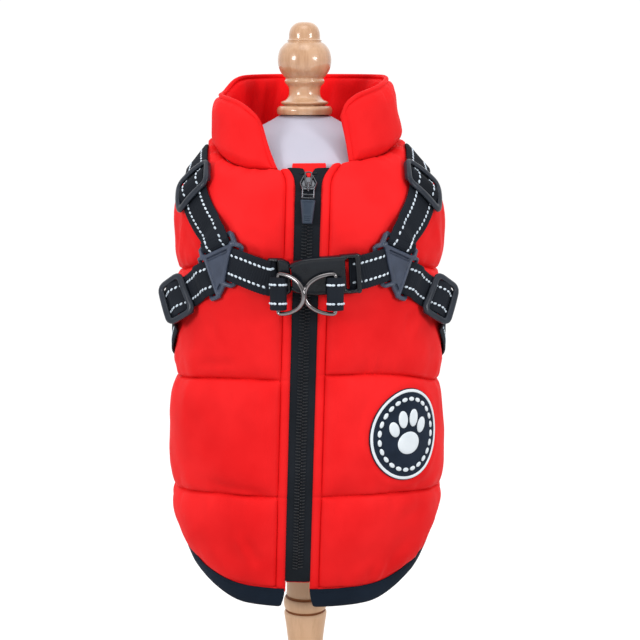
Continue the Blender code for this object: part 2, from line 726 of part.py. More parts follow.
def zip_slider_and_pull():
    frame = zip_frame()
    high = SLIDER_OUT[1]
    under_bridge = BRIDGE_OUT[1] - STEP
    blocks = [
        block(SLIDER_BODY, *SLIDER_OUT),
        block(rectangle(-POST_HALF, POST_HALF, *BACK_POST), high - 0.5, under_bridge),
        block(rectangle(-POST_HALF, POST_HALF, *FRONT_POST), FRONT_POST_FOOT, under_bridge),
        block(rectangle(-BRIDGE_HALF, BRIDGE_HALF, *BRIDGE), *BRIDGE_OUT),
    ]
    placed("zip_slider", "zip_metal", joined(blocks), frame)

    pivot = frame @ Vector(HINGE_IN_SLIDER)
    tip_up = SLIDER_UP + HINGE_IN_SLIDER[1] - PULL_LOOP - GRIP_LONG
    tip = on_skin(zip_degrees(0.0, tip_up), tip_up, CHAIN_OUT[1] + GRIP_THICK / 2 + 0.7)
    up = (pivot - tip).normalized()
    right = Vector((1.0, 0.0, 0.0))
    right = (right - right.dot(up) * up).normalized()
    frame = Matrix((right, up, right.cross(up))).transposed().to_4x4()
    frame.translation = pivot
    half = PULL_LOOP / 2
    thick = (-PULL_WIRE / 2, PULL_WIRE / 2)
    top = PULL_WIRE / 2
    foot = top - PULL_LOOP
    inset = 0.1
    thin = (thick[0] + inset, thick[1] - inset)
    outside, inside = half - inset, half - inset - PULL_WIRE
    blocks = [
        block(rectangle(-half, half, top - PULL_WIRE, top), *thick),
        block(rectangle(-half, half, foot, foot + PULL_FOOT_BAR), *thick),
        block(rectangle(-outside, -inside, foot + inset, top - inset), *thin),
        block(rectangle(inside, outside, foot + inset, top - inset), *thin),
    ]
    pull = placed("zip_pull", "zip_metal", joined(blocks), frame, pivot)
    grip_top = foot - SEAM_GAP
    outline = [(wide, grip_top - down) for wide, down in GRIP_OUTLINE]
    outline += [(-wide, up) for wide, up in reversed(outline)]
    grip_mesh = joined([block(outline, -GRIP_THICK / 2, GRIP_THICK / 2)], 0.5)
    grip = placed("zip_pull_grip", "grip_rubber", grip_mesh, frame, pivot)
    grip.parent = pull
    grip.matrix_parent_inverse = Matrix.Translation(pull.location).inverted()


# ---------- the harness ----------


def webbing(name, stations, side=1, both_sides=False):
    """A strap through stations of angle, length up and distance out, its section square to its run."""
    if both_sides:
        mirror = [(360.0 - degrees, up, out) for degrees, up, out in reversed(stations[:-1])]
        stations = stations + mirror
    rings = []
    for k, (degrees, up, out) in enumerate(stations):
        before = stations[max(k - 1, 0)]
        after = stations[min(k + 1, len(stations) - 1)]
        per_mm = degrees_per_mm(degrees, up)
        run = Vector(((after[0] - before[0]) / per_mm, after[1] - before[1]))
        run.normalize()
        ring = []
        for level, order in ((0.0, (-1, 0, 1)), (WEB_THICK, (1, 0, -1))):
            for across in order:
                shift = across * WEB_WIDE / 2
                ring.append(on_skin(
                    side * (degrees - run.y * shift * per_mm), up + run.x * shift, out + level,
                ))
        rings.append(ring)
    loft(name, "webbing", rings)


def along(route, lifts, step=7.0):
    """Stations along a route, with the strap lifted near the places that lifts names.

    lifts holds rows of: distance along the route, distance out.
    """
    fine = curve_through([(degrees, up, 0.0) for degrees, up in route], 16)
    walked = [0.0]
    for a, b in zip(fine, fine[1:]):
        per_mm = degrees_per_mm(a.x, a.y)
        walked.append(walked[-1] + math.hypot((b.x - a.x) / per_mm, b.y - a.y))
    total = walked[-1]
    count = max(2, round(total / step))
    places = {round(total * k / count, 3) for k in range(count + 1)}
    places = sorted(places | {place for place, _ in lifts if place < total})
    places = [p for i, p in enumerate(places) if i == 0 or p - places[i - 1] > 0.35]
    stations = []
    for place in places:
        i = 0
        while i < len(walked) - 2 and walked[i + 1] < place:
            i += 1
        f = (place - walked[i]) / (walked[i + 1] - walked[i])
        spot = fine[i].lerp(fine[i + 1], f)
        stations.append((spot.x, spot.y, lift_at(lifts, place)))
    return stations, total


def lift_at(lifts, place):
    if not lifts or place <= lifts[0][0]:
        return lifts[0][1] if lifts else WEB_OUT
    for (d0, out0), (d1, out1) in zip(lifts, lifts[1:]):
        if place <= d1:
            return out0 + (out1 - out0) * (place - d0) / (d1 - d0)
    return lifts[-1][1]


def slot_lifts():
    """Distances out where a strap comes up through a slot and over the bar beyond it."""
    return [
        (0.0, WEB_OUT + 0.4), (SLOT - 1.2, WEB_OVER_BAR), (SLOT + BAR + 2.0, WEB_OVER_BAR),
        (SLOT + BAR + 7.0, WEB_OUT),
    ]


def glide_lifts(centre, stand):
    """Distances out where a strap runs under, over and under a glide's bars, and back down to the coat."""
    half = GLIDE_LONG / 2
    reach = half - BAR - 0.6
    over = 1.9
    rows = [
        (-half, WEB_OUT), (-reach, WEB_OUT), (-over, WEB_OVER_BAR), (over, WEB_OVER_BAR), (reach, WEB_OUT),
        (half - 1.2, WEB_OUT),
    ]
    lifts = [(centre + run, out + stand * (run + half) / GLIDE_LONG) for run, out in rows]
    return lifts + [(centre + half + GIRTH_RETURN, WEB_OUT)]


def distance_to(route, spot):
    """How far along a route the place nearest to a spot lies."""
    fine = curve_through([(degrees, up, 0.0) for degrees, up in route], 16)
    walked = 0.0
    best = (1e9, 0.0)
    for a, b in zip(fine, fine[1:]):
        per_mm = degrees_per_mm(a.x, a.y)
        off = math.hypot((a.x - spot[0]) / per_mm, a.y - spot[1])
        best = min(best, (off, walked))
        walked += math.hypot((b.x - a.x) / per_mm, b.y - a.y)
    return best[1]


def heading(route, spot):
    """The direction of a route at the place nearest to a spot, in degrees from outward to up."""
    fine = curve_through([(degrees, up, 0.0) for degrees, up in route], 16)
    per_mm = degrees_per_mm(*spot)
    away = [math.hypot((p.x - spot[0]) / per_mm, p.y - spot[1]) for p in fine[1:-1]]
    nearest = away.index(min(away)) + 1
    a, b = fine[nearest - 1], fine[nearest + 1]
    return math.degrees(math.atan2(b.y - a.y, (b.x - a.x) / per_mm))


def glide(name, side, spot, route, stand):
    """A slotted slide: two outer bars over the strap and a middle bar under it. Its far end stands off."""
    long, wide = GLIDE_LONG / 2, GLIDE_WIDE / 2
    inside = WEB_WIDE / 2 + WEB_PLAY
    over = WEB_OUT + WEB_THICK + 0.65
    far, reach = long - STEP, wide - STEP
    blocks = [
        block(rectangle(-long, long, inside, wide), HARD_FOOT, GLIDE_TOP),
        block(rectangle(-long, long, -wide, -inside), HARD_FOOT, GLIDE_TOP),
        block(rectangle(long - BAR, far, -reach, reach), over, GLIDE_TOP - STEP),
        block(rectangle(-far, -long + BAR, -reach, reach), over, GLIDE_TOP - STEP),
        block(rectangle(-BAR / 2, BAR / 2, -reach, reach), HARD_FOOT + STEP, BAR_TOP),
    ]
    mesh = joined(blocks)
    for vert in mesh.vertices:
        vert.co.z += stand * (vert.co.x + long) / GLIDE_LONG
    bent_onto_coat(name, "slate_plastic", mesh, spot, heading(route, spot), side)


def yoke_arms():
    """Each arm of a yoke: the middle of its plate's edge, its direction and the edge's length."""
    arms = []
    plate = [Vector(corner) for corner in YOKE_PLATE]
    for a, b in ((0, 1), (1, 2), (3, 0)):
        edge = plate[b] - plate[a]
        away = Vector((-edge.y, edge.x)).normalized()
        arms.append(((plate[a] + plate[b]) / 2, away, edge.length))
    return arms


def yoke(name, side):
    """The three-way plastic yoke, each arm a slot with a bar beyond it."""
    blocks = [block(YOKE_PLATE, HARD_FOOT, YOKE_TOP)]
    half = WEB_WIDE / 2 + WEB_PLAY
    reach = half + BAR - STEP
    far = SLOT + BAR
    for middle, away, _ in yoke_arms():
        along_edge = Vector((away.y, -away.x))

        def outline(near, near_half, beyond, beyond_half, centre=0.0):
            corners = [
                (near, centre - near_half), (near, centre + near_half),
                (beyond, centre + beyond_half), (beyond, centre - beyond_half),
            ]
            return [tuple(middle + away * run + along_edge * across) for run, across in corners]

        for centre in (half + BAR / 2, -half - BAR / 2):
            rail = outline(-1.0, BAR / 2, SLOT + 2 * STEP, BAR / 2, centre)
            blocks.append(block(rail, HARD_FOOT + 0.1, YOKE_TOP - 0.4))
        blocks.append(block(outline(SLOT, reach, far, reach), HARD_FOOT + 0.2, BAR_TOP))
        ledge = outline(-1.2, half, 0.0, half + STEP)
        blocks.append(block(ledge, HARD_FOOT + 0.2, YOKE_TOP - 0.7))
    bent_onto_coat(name, "slate_plastic", joined(blocks), YOKE, 0.0, side)


def from_yoke(arm, rest):
    """A strap's route: out of a yoke's slot, square to it, and on through the rest."""
    middle, away, _ = yoke_arms()[arm]
    per_mm = degrees_per_mm(*YOKE)
    start = []
    for run in (0.5, 4.5, SLOT + BAR + 1.5):
        spot = middle + away * run
        start.append((YOKE[0] + spot.x * per_mm, YOKE[1] + spot.y))
    return start + rest


def harness_side(word, side):
    """One side's yoke and glides."""
    yoke("yoke_" + word, side)
    glide("neck_glide_" + word, side, NECK_GLIDE, from_yoke(0, NECK_ROUTE), 0.0)
    glide("girth_glide_" + word, side, GIRTH_GLIDE, from_yoke(1, GIRTH_ROUTE), GIRTH_STAND)


def long_straps():
    """The two straps that run from yoke to yoke, one round the neck and one round the girth."""
    for name, arm, route, spot, stand in (
        ("neck_strap", 0, NECK_ROUTE, NECK_GLIDE, 0.0),
        ("girth_strap", 1, GIRTH_ROUTE, GIRTH_GLIDE, GIRTH_STAND),
    ):
        whole = from_yoke(arm, route)
        lifts = slot_lifts() + glide_lifts(distance_to(whole, spot), stand)
        stations, _ = along(whole, lifts, 9.0)
        webbing(name, stations, both_sides=True)


def buckle_and_bands():
    """The side-release buckle and the two short bands that join it to the yokes."""
    left, split, right = BUCKLE_X
    low, high = BUCKLE_OUT
    half = BUCKLE_TALL / 2
    end = BAR + 0.2
    slot = half - 1.6
    # The rails beside each slot, the bar at each end, and the tongue with its two prongs.
    rail = (slot, half - 0.6)
    rail_out = (low + 0.1, BAR_TOP + 0.1)
    bar_out = (low + STEP, BAR_TOP)
    shoulder = split - 7.6
    tongue = (split - 8.0, split - SEAM_GAP)
    tongue_out = (low + 1.5, high - 1.8)
    prong = (half - 5.0, half - 1.6)
    male = [
        block(rectangle(left + STEP, left + end, -slot - STEP, slot + STEP), *bar_out),
        block(rectangle(left + end + SLOT + 0.5, shoulder, -half + 1.0, half - 1.0), low, RING_LEFT[2]),
        block(rectangle(*tongue, -5.0, 5.0), *tongue_out),
    ]
    female = [
        block(rectangle(split, right - end - SLOT, -half, half), low, high),
        block(rectangle(right - end, right - STEP, -slot - STEP, slot + STEP), *bar_out),
    ]
    for side in (-1, 1):
        between = sorted(side * edge for edge in rail)
        male.append(block(rectangle(left, shoulder - STEP, *between), *rail_out))
        female.append(block(rectangle(right - end - SLOT - 1.0, right, *between), *rail_out))
        male.append(block(rectangle(*tongue, *sorted(side * edge for edge in prong)), *tongue_out))
    centre = (front_degrees(0.0, BUCKLE_UP), BUCKLE_UP)
    bent_onto_coat("buckle_male", "black_plastic", joined(male), centre, BUCKLE_TURN, 1)
    bent_onto_coat("buckle_female", "black_plastic", joined(female, 0.5), centre, BUCKLE_TURN, 1)

    middle, away, _ = yoke_arms()[2]
    per_mm = degrees_per_mm(*YOKE)
    at_zip = degrees_per_mm(*centre)
    for word, side, end_x, away_x in (("left", -1, left, -1), ("right", 1, right, 1)):
        start = middle + away * 0.5
        second = middle + away * (SLOT + BAR - 0.5)
        slot_x = end_x - away_x * (end + SLOT - 1.5)
        bar_x = end_x + away_x * 0.5
        route = [(YOKE[0] + spot.x * per_mm, YOKE[1] + spot.y) for spot in (start, second)]
        for x in (bar_x, slot_x):
            rise = x * math.sin(math.radians(BUCKLE_TURN))
            route.append((side * (centre[0] + x * at_zip), BUCKLE_UP + rise))
        _, total = along(route, [])
        rise = [(0.0, WEB_OUT + 0.9), (SLOT - 1.8, WEB_OVER_BAR)]
        stations, _ = along(route, rise + [(total - d, out) for d, out in reversed(rise)], 5.0)
        webbing("buckle_strap_" + word, stations, side)


def ring_path():
    """A D-ring's wire centre line: how far it stands off its bar, height."""
    top = RING_TALL / 2 - RING_WIRE
    deep = RING_DEEP - 2 * RING_WIRE
    straight = top - 1.2
    path = [(0.0, -straight), (0.0, -straight / 3), (0.0, straight / 3), (0.0, straight), (0.35, top - 0.35)]
    for k in range(13):
        turn = math.pi / 2 - math.pi * k / 12
        path.append((1.2 + (deep - 1.2) * math.cos(turn), top * math.sin(turn)))
    path.append((0.35, -top + 0.35))
    return path


def ring_and_loop(word, bar_x, lift, seat, inward):
    """A D-ring lying in over the buckle, and the webbing loop that holds its straight bar."""
    wide, deep, tall = LOOP_SIZE
    over = seat + SEAM_GAP
    at = front_degrees(bar_x, BUCKLE_UP)
    for _ in range(4):
        at += front_degrees(bar_x, BUCKLE_UP) * (bar_x - on_skin(at, BUCKLE_UP, over + deep / 2).x) / bar_x
    face = on_skin(at, BUCKLE_UP, over)
    away = outward(at, BUCKLE_UP)
    away = Vector((away.x, away.y, 0.0)).normalized()
    across = Vector((-away.y, away.x, 0.0))
    bar = face + away * deep / 2
    bar.z = RING_Z
    turn = math.radians(lift)
    reach = Vector((inward * math.cos(turn), -math.sin(turn), 0.0))
    curve = bpy.data.curves.new("d_ring_" + word, "CURVE")
    curve.dimensions = "3D"
    curve.bevel_depth = RING_WIRE * MM
    curve.bevel_resolution = 2
    path = ring_path()
    spline = curve.splines.new("POLY")
    spline.points.add(len(path) - 1)
    for spot, (off, height) in zip(spline.points, path):
        place = reach * off + Vector((0.0, 0.0, height))
        spot.co = (*(place * MM), 1.0)
    spline.use_cyclic_u = True
    curve.materials.append(material_for("ring_metal"))
    ring = bpy.data.objects.new("d_ring_" + word, curve)
    ring.location = bar * MM
    bpy.context.scene.collection.objects.link(ring)

    count = 16
    rings = []
    for radius_x, radius_y, height in (
        (1.55, 1.55, -tall / 2), (wide / 2, deep / 2 - 0.1, -tall / 2), (wide / 2, deep / 2 - 0.1, tall / 2),
        (1.55, 1.55, tall / 2),
    ):
        ring_points = []
        for k in range(count):
            angle = math.tau * (k + 0.5) / count
            power = 1.0 if radius_x < 2.0 else 0.72
            x = radius_x * math.copysign(abs(math.cos(angle)) ** power, math.cos(angle))
            y = radius_y * math.copysign(abs(math.sin(angle)) ** power, math.sin(angle))
            ring_points.append(bar + across * x + away * y + Vector((0.0, 0.0, height)))
        rings.append(ring_points)
    loft("ring_loop_" + word, "webbing", rings, ring_round=True)


# ---------- the patch, the form and the stand ----------


def patch():
    """The round patch, laid over the padding."""
    sides = 32
    radii = [0.5, 12.0, 20.0, 25.0, PATCH_HALF]
    per_mm = degrees_per_mm(*PATCH)
    rings = []
    for raised, reach in ((PATCH_GAP, radii), (PATCH_GAP + PATCH_THICK, radii[::-1])):
        for radius in reach:
            ring = []
            for k in range(sides):
                turn = math.tau * k / sides
                degrees = PATCH[0] + radius * math.cos(turn) * per_mm
                up = PATCH[1] + radius * math.sin(turn)
                lines = level_lines(degrees)
                cross = min(abs(up - line) for line in lines)
                pad = pad_out(degrees, up, cross, PAD_SHOULDER, None)
                ring.append(on_skin(degrees, up, pad + raised))
            rings.append(ring)
    loft("patch", "patch_rubber", rings)


def dress_form():
    """The limbless form: the coat's inner line, drawn in so that it stays clear of the cloth."""
    profile = list(FORM_FOOT)
    for half, height, lean in BODY_LINE[3:12:2] + BODY_LINE[12:]:
        slack = FORM_GAP + lean + (2.0 if height < 330.0 else 0.0)
        profile.append((half - slack, height))
    turned("dress_form", "form_cloth", profile, 26, DEPTH_RATIO)


def stand():
    turned("finial", "turned_wood", FINIAL, 20)
    turned("post", "turned_wood", POST, 20)
    turned("base", "turned_wood", BASE, 36)


def main():
    for leftover in list(bpy.data.objects):
        bpy.data.objects.remove(leftover)
    left = side_panel("panel_left", -1)
    right = side_panel("panel_right", 1)
    belly = belly_panel("panel_belly")
    cut_armhole((left, belly), -1)
    cut_armhole((right, belly), 1)
    armhole_binding("armhole_binding_left", -1)
    armhole_binding("armhole_binding_right", 1)
    gap = 0.5 * SEAM_GAP * degrees_per_mm(SIDE_SEAM, 75.0)
    hem_band("hem_binding_left", -SIDE_SEAM + gap, 0.0, -1)
    hem_band("hem_binding_right", 0.0, SIDE_SEAM - gap, 1)
    hem_band("hem_binding_belly", SIDE_SEAM + gap, 360.0 - SIDE_SEAM - gap, 0)
    collar()
    zip_guard()
    inset = ZIP_HALF - SEAM_GAP
    inner = CHAIN_HALF + SEAM_GAP
    zip_band("zip_tape_left", "zip_tape", (-inset, -inner), TAPE_TOP_UP, TAPE_OUT)
    zip_band("zip_tape_right", "zip_tape", (inner, inset), TAPE_TOP_UP, TAPE_OUT)
    zip_band("zip_chain", "zip_tape", (-CHAIN_HALF, CHAIN_HALF), CHAIN_TOP_UP, CHAIN_OUT)
    zip_slider_and_pull()
    harness_side("left", -1)
    harness_side("right", 1)
    long_straps()
    buckle_and_bands()
    ring_and_loop("left", *RING_LEFT, 1)
    ring_and_loop("right", *RING_RIGHT, -1)
    patch()
    dress_form()
    stand()


main()
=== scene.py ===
"""The looks of a dog's padded winter coat with a built-in harness, worn by a limbless dress form.

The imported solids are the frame. Each piece here is the fine one that stands for a solid, laid out on the
same skin, the coat's inner line: a point there is an angle round the body from the zip in degrees
(positive towards +X), a length up the body line and a distance out from it. All sizes are in
millimetres, and add_mesh turns them into the frame's metres.
"""

import math

import bmesh
import bpy
import numpy as np
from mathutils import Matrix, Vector


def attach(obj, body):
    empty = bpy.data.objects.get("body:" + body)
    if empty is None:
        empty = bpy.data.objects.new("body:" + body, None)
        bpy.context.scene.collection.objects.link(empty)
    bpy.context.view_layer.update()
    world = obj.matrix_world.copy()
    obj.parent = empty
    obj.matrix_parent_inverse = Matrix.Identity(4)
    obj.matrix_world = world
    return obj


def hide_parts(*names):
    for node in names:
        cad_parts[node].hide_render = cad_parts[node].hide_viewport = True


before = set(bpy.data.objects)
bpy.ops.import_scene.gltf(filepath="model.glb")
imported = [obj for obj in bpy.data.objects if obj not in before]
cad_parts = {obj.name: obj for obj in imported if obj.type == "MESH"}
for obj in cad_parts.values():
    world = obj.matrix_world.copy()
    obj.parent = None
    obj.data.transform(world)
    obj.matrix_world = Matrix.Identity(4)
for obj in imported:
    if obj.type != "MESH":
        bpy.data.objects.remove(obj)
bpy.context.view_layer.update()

MM = 0.001
TAU = math.tau
SEAM_GAP = 0.3
DEPTH_RATIO = 0.855
SIDES = (("left", -1), ("right", 1))

# ---------- the coat's layout, repeated from its solids ----------

# The coat's inner line: half width, height, sideways lean.
BODY_LINE = [
    (67.0, 104.0, 0.3), (70.0, 112.0, 0.5), (72.4, 122.0, 0.7), (74.6, 136.0, 0.9),
    (77.2, 154.0, 1.1), (78.3, 174.0, 1.0), (78.0, 200.0, 0.9), (76.2, 232.0, 1.6),
    (75.0, 251.0, 2.2), (74.6, 270.0, 2.5), (74.8, 300.0, 2.5), (75.0, 318.0, 2.5),
    (75.4, 334.0, 2.9), (73.4, 345.0, 2.7), (68.4, 355.0, 2.3), (61.0, 364.0, 1.9),
    (54.0, 372.3, 1.5), (47.2, 379.0, 1.0), (39.5, 384.5, 0.5), (31.0, 389.0, 0.2),
    (22.5, 393.3, 0.0), (16.0, 397.0, 0.0),
]
# Lines across the coat: angle from the zip in degrees, length up the body line.
HEM_FOOT = [
    (-180.0, 81.0), (-125.0, 74.0), (-110.0, 63.5), (-90.0, 43.5), (-80.0, 32.0), (-68.0, 21.0),
    (-58.0, 13.5), (-40.0, 6.5), (-28.0, 4.6), (0.0, 4.5), (28.0, 4.6), (40.0, 6.5), (58.0, 14.0),
    (68.0, 22.0), (80.0, 33.5), (90.0, 45.0), (110.0, 64.5), (125.0, 74.5), (180.0, 81.0),
]
NECK_SEAM = [
    (-180.0, 292.0), (-120.0, 290.5), (-100.0, 288.0), (-84.0, 284.0), (-72.0, 279.0), (-60.0, 274.0),
    (-45.0, 269.5), (-33.0, 267.0), (-12.0, 267.0), (0.0, 268.5), (25.0, 272.0), (38.0, 273.5),
    (50.0, 275.5), (60.0, 277.5), (78.0, 281.5), (100.0, 286.5), (120.0, 290.0), (180.0, 292.0),
]
# Each cross quilting line: its length up the body line at the zip and how far it drops at the sides,
# on the left and on the right.
QUILT_LINES = [(71.9, 8.5, 72.4, 9.0), (141.7, 8.5, 144.9, 14.2), (212.0, 12.0, 212.0, 12.0)]
LEAST_BAND = 6.0
HEM_BINDING = 10.0
HEM_GAP = 0.6
SEWN = 3.3
PAD_RISE = 4.9
PAD_SHOULDER = 16.0
SIDE_SEAM = 125.0

ZIP_TOP = (3.0, 368.0)
ZIP_FOOT = (-4.0, 122.0)
ZIP_HALF = 7.2
ZIP_FOOT_UP = 18.6
PLACKET = 6.0
# The zip guard's head: length up, half width.
GUARD_HEAD = [(265.0, 6.8), (267.0, 9.6), (270.5, 9.8), (272.6, 9.4)]
TAPE_TOP_UP = 266.0
CHAIN_OUT = (1.7, 3.6)
SLIDER_UP = 256.5

ARMHOLE_UP = 197.0
ARMHOLE_HALF_WIDE = 26.0
ARMHOLE_HALF_TALL = 30.0

# The collar's rim: angle, height.
RIM_HEIGHT = [
    (24.0, 397.0), (28.0, 404.6), (33.0, 408.2), (39.0, 410.8), (55.0, 414.2), (72.0, 417.5),
    (88.0, 420.0), (110.0, 421.5), (180.0, 422.0), (226.0, 421.5), (242.0, 419.5), (262.0, 411.8),
    (285.0, 410.0), (306.0, 406.9), (314.0, 404.0), (320.5, 400.4), (325.5, 396.2), (329.0, 390.5),
]
# How far the rim stands out from its oval: angle, distance.
RIM_SPREAD = [
    (24.0, 0.0), (60.0, -1.0), (90.0, -1.2), (120.0, -0.4), (180.0, 0.0), (240.0, 0.0), (262.0, 1.4),
    (280.0, 2.8), (296.0, 3.2), (316.0, 1.2), (329.0, 0.0),
]
RIM_HALF = (49.6, 45.0)
RIM_LEAN = 1.2
COLLAR_THICK = 8.4
COLLAR_GAP = 0.45
COLLAR_EDGE = 3.0
# How far the collar bows out between its seam and its rim: angle, distance.
COLLAR_BOW = [
    (24.0, 1.0), (45.0, 1.2), (75.0, 1.0), (95.0, 1.0), (130.0, 1.6), (180.0, 2.0), (230.0, 1.6),
    (265.0, 0.9), (290.0, 1.0), (312.0, 1.3), (329.0, 1.2),
]
# How far the collar swells out just over its seam: angle, distance.
COLLAR_SKIRT = [
    (24.0, 0.0), (50.0, 1.2), (72.0, 3.0), (95.0, 3.2), (125.0, 2.0), (180.0, 1.2), (235.0, 1.0),
    (262.0, 0.8), (285.0, 0.6), (310.0, 0.5), (329.0, 0.0),
]
COLLAR_BASE_EDGES = (25.0, 344.0)
COLLAR_TOP_EDGES = (24.0, 329.0)

WEB_WIDE = 20.0
WEB_THICK = 1.4
WEB_OUT = 9.1
HARD_FOOT = 9.3
WEB_OVER_BAR = 11.9
# The long straps' routes past the yokes: angle, length up.
NECK_ROUTE = [
    (46.2, 232.6), (51.2, 238.6), (56.2, 244.6), (60.5, 251.0), (66.0, 257.8), (73.0, 263.2),
    (84.0, 267.0), (100.0, 264.0), (125.0, 256.0), (150.0, 249.0), (180.0, 246.0),
]
GIRTH_ROUTE = [
    (55.2, 192.6), (62.5, 186.6), (72.0, 177.0), (81.0, 167.0), (91.0, 157.5), (103.0, 151.0),
    (118.0, 148.0), (145.0, 146.5), (180.0, 146.0),
]
YOKE = (39.0, 210.5)
# The corners of a yoke's plate: mm outward and mm up from the yoke's place.
YOKE_PLATE = [(-11.5, 12.4), (8.6, 3.0), (-1.2, -20.0), (-5.6, -12.0)]
BAR = 2.8
SLOT = 4.2
NECK_GLIDE = (60.2, 250.6)
GIRTH_GLIDE = (62.5, 186.4)
GLIDE_LONG = 20.0
GLIDE_WIDE = 27.4
# A girth glide's far end stands off the coat, and the strap comes back down over a length beyond it.
GIRTH_STAND = 8.0
GIRTH_RETURN = 14.0

# The buckle lies beside the zip at this length up, and slopes by this many degrees.
BUCKLE_UP = 204.7
BUCKLE_TURN = 3.3
BUCKLE_X = (-20.0, 32.0)
BUCKLE_OUT = (9.3, 17.0)
RING_TALL = 25.0
RING_DEEP = 18.0
RING_WIRE = 1.1
RING_Z = 298.0
LOOP_SIZE = (9.5, 5.8, 18.8)
# Each D-ring: its bar's x, how far it is lifted in degrees, and how far out its loop's seat is.
RING_LEFT = (-14.2, 30.0, 15.8)
RING_RIGHT = (18.1, 5.0, 17.0)

PATCH = (45.2, 106.5)
PATCH_HALF = 27.5
PATCH_GAP = 0.5

# Turned profiles: radius, height.
FINIAL = [
    (16.6, 397.4), (16.9, 398.6), (16.9, 400.6), (15.6, 402.3), (12.4, 402.8), (14.2, 403.8),
    (14.2, 405.0), (11.6, 406.3), (9.9, 408.4), (9.5, 411.0), (9.9, 414.0), (11.8, 416.3),
    (12.1, 417.6), (11.6, 419.1), (13.2, 421.0), (15.2, 424.2), (16.2, 428.0), (16.2, 432.0),
    (15.0, 436.4), (12.3, 439.8), (10.3, 441.0), (10.5, 441.9), (9.6, 442.8), (9.3, 446.5),
    (8.0, 449.8), (5.4, 452.1), (2.6, 452.9),
]
POST = [
    (12.6, 17.0), (12.0, 20.0), (10.9, 28.0), (10.9, 50.0), (11.3, 61.0), (12.6, 72.0),
    (13.6, 79.0), (13.2, 80.8), (11.9, 81.7), (11.9, 82.3), (13.3, 83.2), (13.9, 86.5),
    (13.3, 89.8), (11.6, 90.7), (11.6, 91.5), (12.2, 92.6), (12.0, 95.0), (12.0, 117.4),
]
# Where the post's two turned grooves are burnt brown: heights.
GROOVES = ((81.2, 82.8), (90.3, 91.9))
BASE = [(89.5, 0.0), (93.0, 3.0), (93.0, 9.0), (90.0, 13.0), (82.0, 15.2), (62.0, 16.7)]
FORM_FOOT = [(20.0, 117.7), (40.0, 118.6), (56.0, 121.0), (65.0, 126.0)]
FORM_GAP = 1.0


# ---------- the skin that everything lies on ----------


def curve_through(rows, steps):
    """Points on a smooth curve through the rows of a table."""
    rows = np.asarray(rows, float)
    rows = np.vstack([2 * rows[0] - rows[1], rows, 2 * rows[-1] - rows[-2]])
    f = (np.arange(steps) / steps)[None, :, None]
    count = len(rows) - 3
    before, start, end, after = (rows[k:count + k, None, :] for k in range(4))
    points = 0.5 * (2 * start + (end - before) * f
                    + (2 * before - 5 * start + 4 * end - after) * f ** 2
                    + (3 * start - before - 3 * end + after) * f ** 3)
    return np.vstack([points.reshape(-1, rows.shape[1]), rows[-2]])


def read_table(table, where):
    """The value at where, between the rows of a table, eased so that its slope has no corners."""
    at, value = np.array(table, float).T
    last = len(at) - 1
    where = np.clip(where, at[0], at[-1])
    i = np.clip(np.searchsorted(at, where, side="left") - 1, 0, last - 1)
    k = np.arange(last + 1)
    after, before = np.minimum(k + 1, last), np.maximum(k - 1, 0)
    slope = (value[after] - value[before]) / (at[after] - at[before])
    span = at[i + 1] - at[i]
    f = (where - at[i]) / span
    rise = (2 * f ** 3 - 3 * f ** 2 + 1) * value[i] + (3 * f ** 2 - 2 * f ** 3) * value[i + 1]
    return rise + span * ((f ** 3 - 2 * f ** 2 + f) * slope[i] + (f ** 3 - f ** 2) * slope[i + 1])


LINE = curve_through(BODY_LINE, 10)
LENGTHS = np.concatenate([[0.0], np.cumsum(np.hypot(*np.diff(LINE[:, :2], axis=0).T))])


def body_line(up):
    """Half width, height and lean of the body at lengths up its line."""
    return (np.interp(up, LENGTHS, LINE[:, k]) for k in range(3))


def on_line(degrees, up):
    """Points of the coat's inner face."""
    half, height, lean = body_line(up)
    turn = np.radians(degrees)
    across = half * np.sin(turn) + lean
    return np.stack(np.broadcast_arrays(across, -DEPTH_RATIO * half * np.cos(turn), height), axis=-1)


def unit(vectors):
    """Each vector at length 1."""
    return vectors / np.linalg.norm(vectors, axis=-1, keepdims=True)


def outward(degrees, up):
    """The direction square to the body."""
    across = on_line(degrees + 0.5, up) - on_line(degrees - 0.5, up)
    along = on_line(degrees, up + 1.0) - on_line(degrees, up - 1.0)
    return unit(np.cross(across, along))


def on_skin(degrees, up, out):
    """Points at a distance out of the coat's inner face."""
    return on_line(degrees, up) + np.asarray(out, float)[..., None] * outward(degrees, up)


def degrees_per_mm(degrees, up):
    """The angle that a millimetre round the coat takes up."""
    across = on_skin(degrees + 0.5, up, WEB_OUT) - on_skin(degrees - 0.5, up, WEB_OUT)
    return 1.0 / np.linalg.norm(across, axis=-1)


def front_degrees(x, up):
    """The angle of a place on the front at x."""
    half, _, lean = body_line(up)
    return np.degrees(np.arcsin((x - lean) / half))


def zip_degrees(off_centre, up):
    """The angle of a point beside the zip's centre line."""
    _, height, _ = body_line(up)
    f = (height - ZIP_FOOT[1]) / (ZIP_TOP[1] - ZIP_FOOT[1])
    return front_degrees(ZIP_FOOT[0] + f * (ZIP_TOP[0] - ZIP_FOOT[0]) + off_centre, up)


def opening(up):
    """How far the panels' edges part near the zip's top."""
    return 3.6 * np.clip((up - 252.0) / 15.0, 0.0, 1.2) ** 2.4


def parting(up):
    """How far the tapes' inner edges part over the slider."""
    return 3.4 * np.clip((up - 257.5) / 10.5, 0.0, 1.0) ** 1.6


def swell(distance, reach):
    """From 0 at a seam to 1 a reach away, as a filled channel rises."""
    f = np.clip(distance / reach, 0.0, 1.0)
    return np.sqrt(1.0 - (1.0 - f) ** 2)


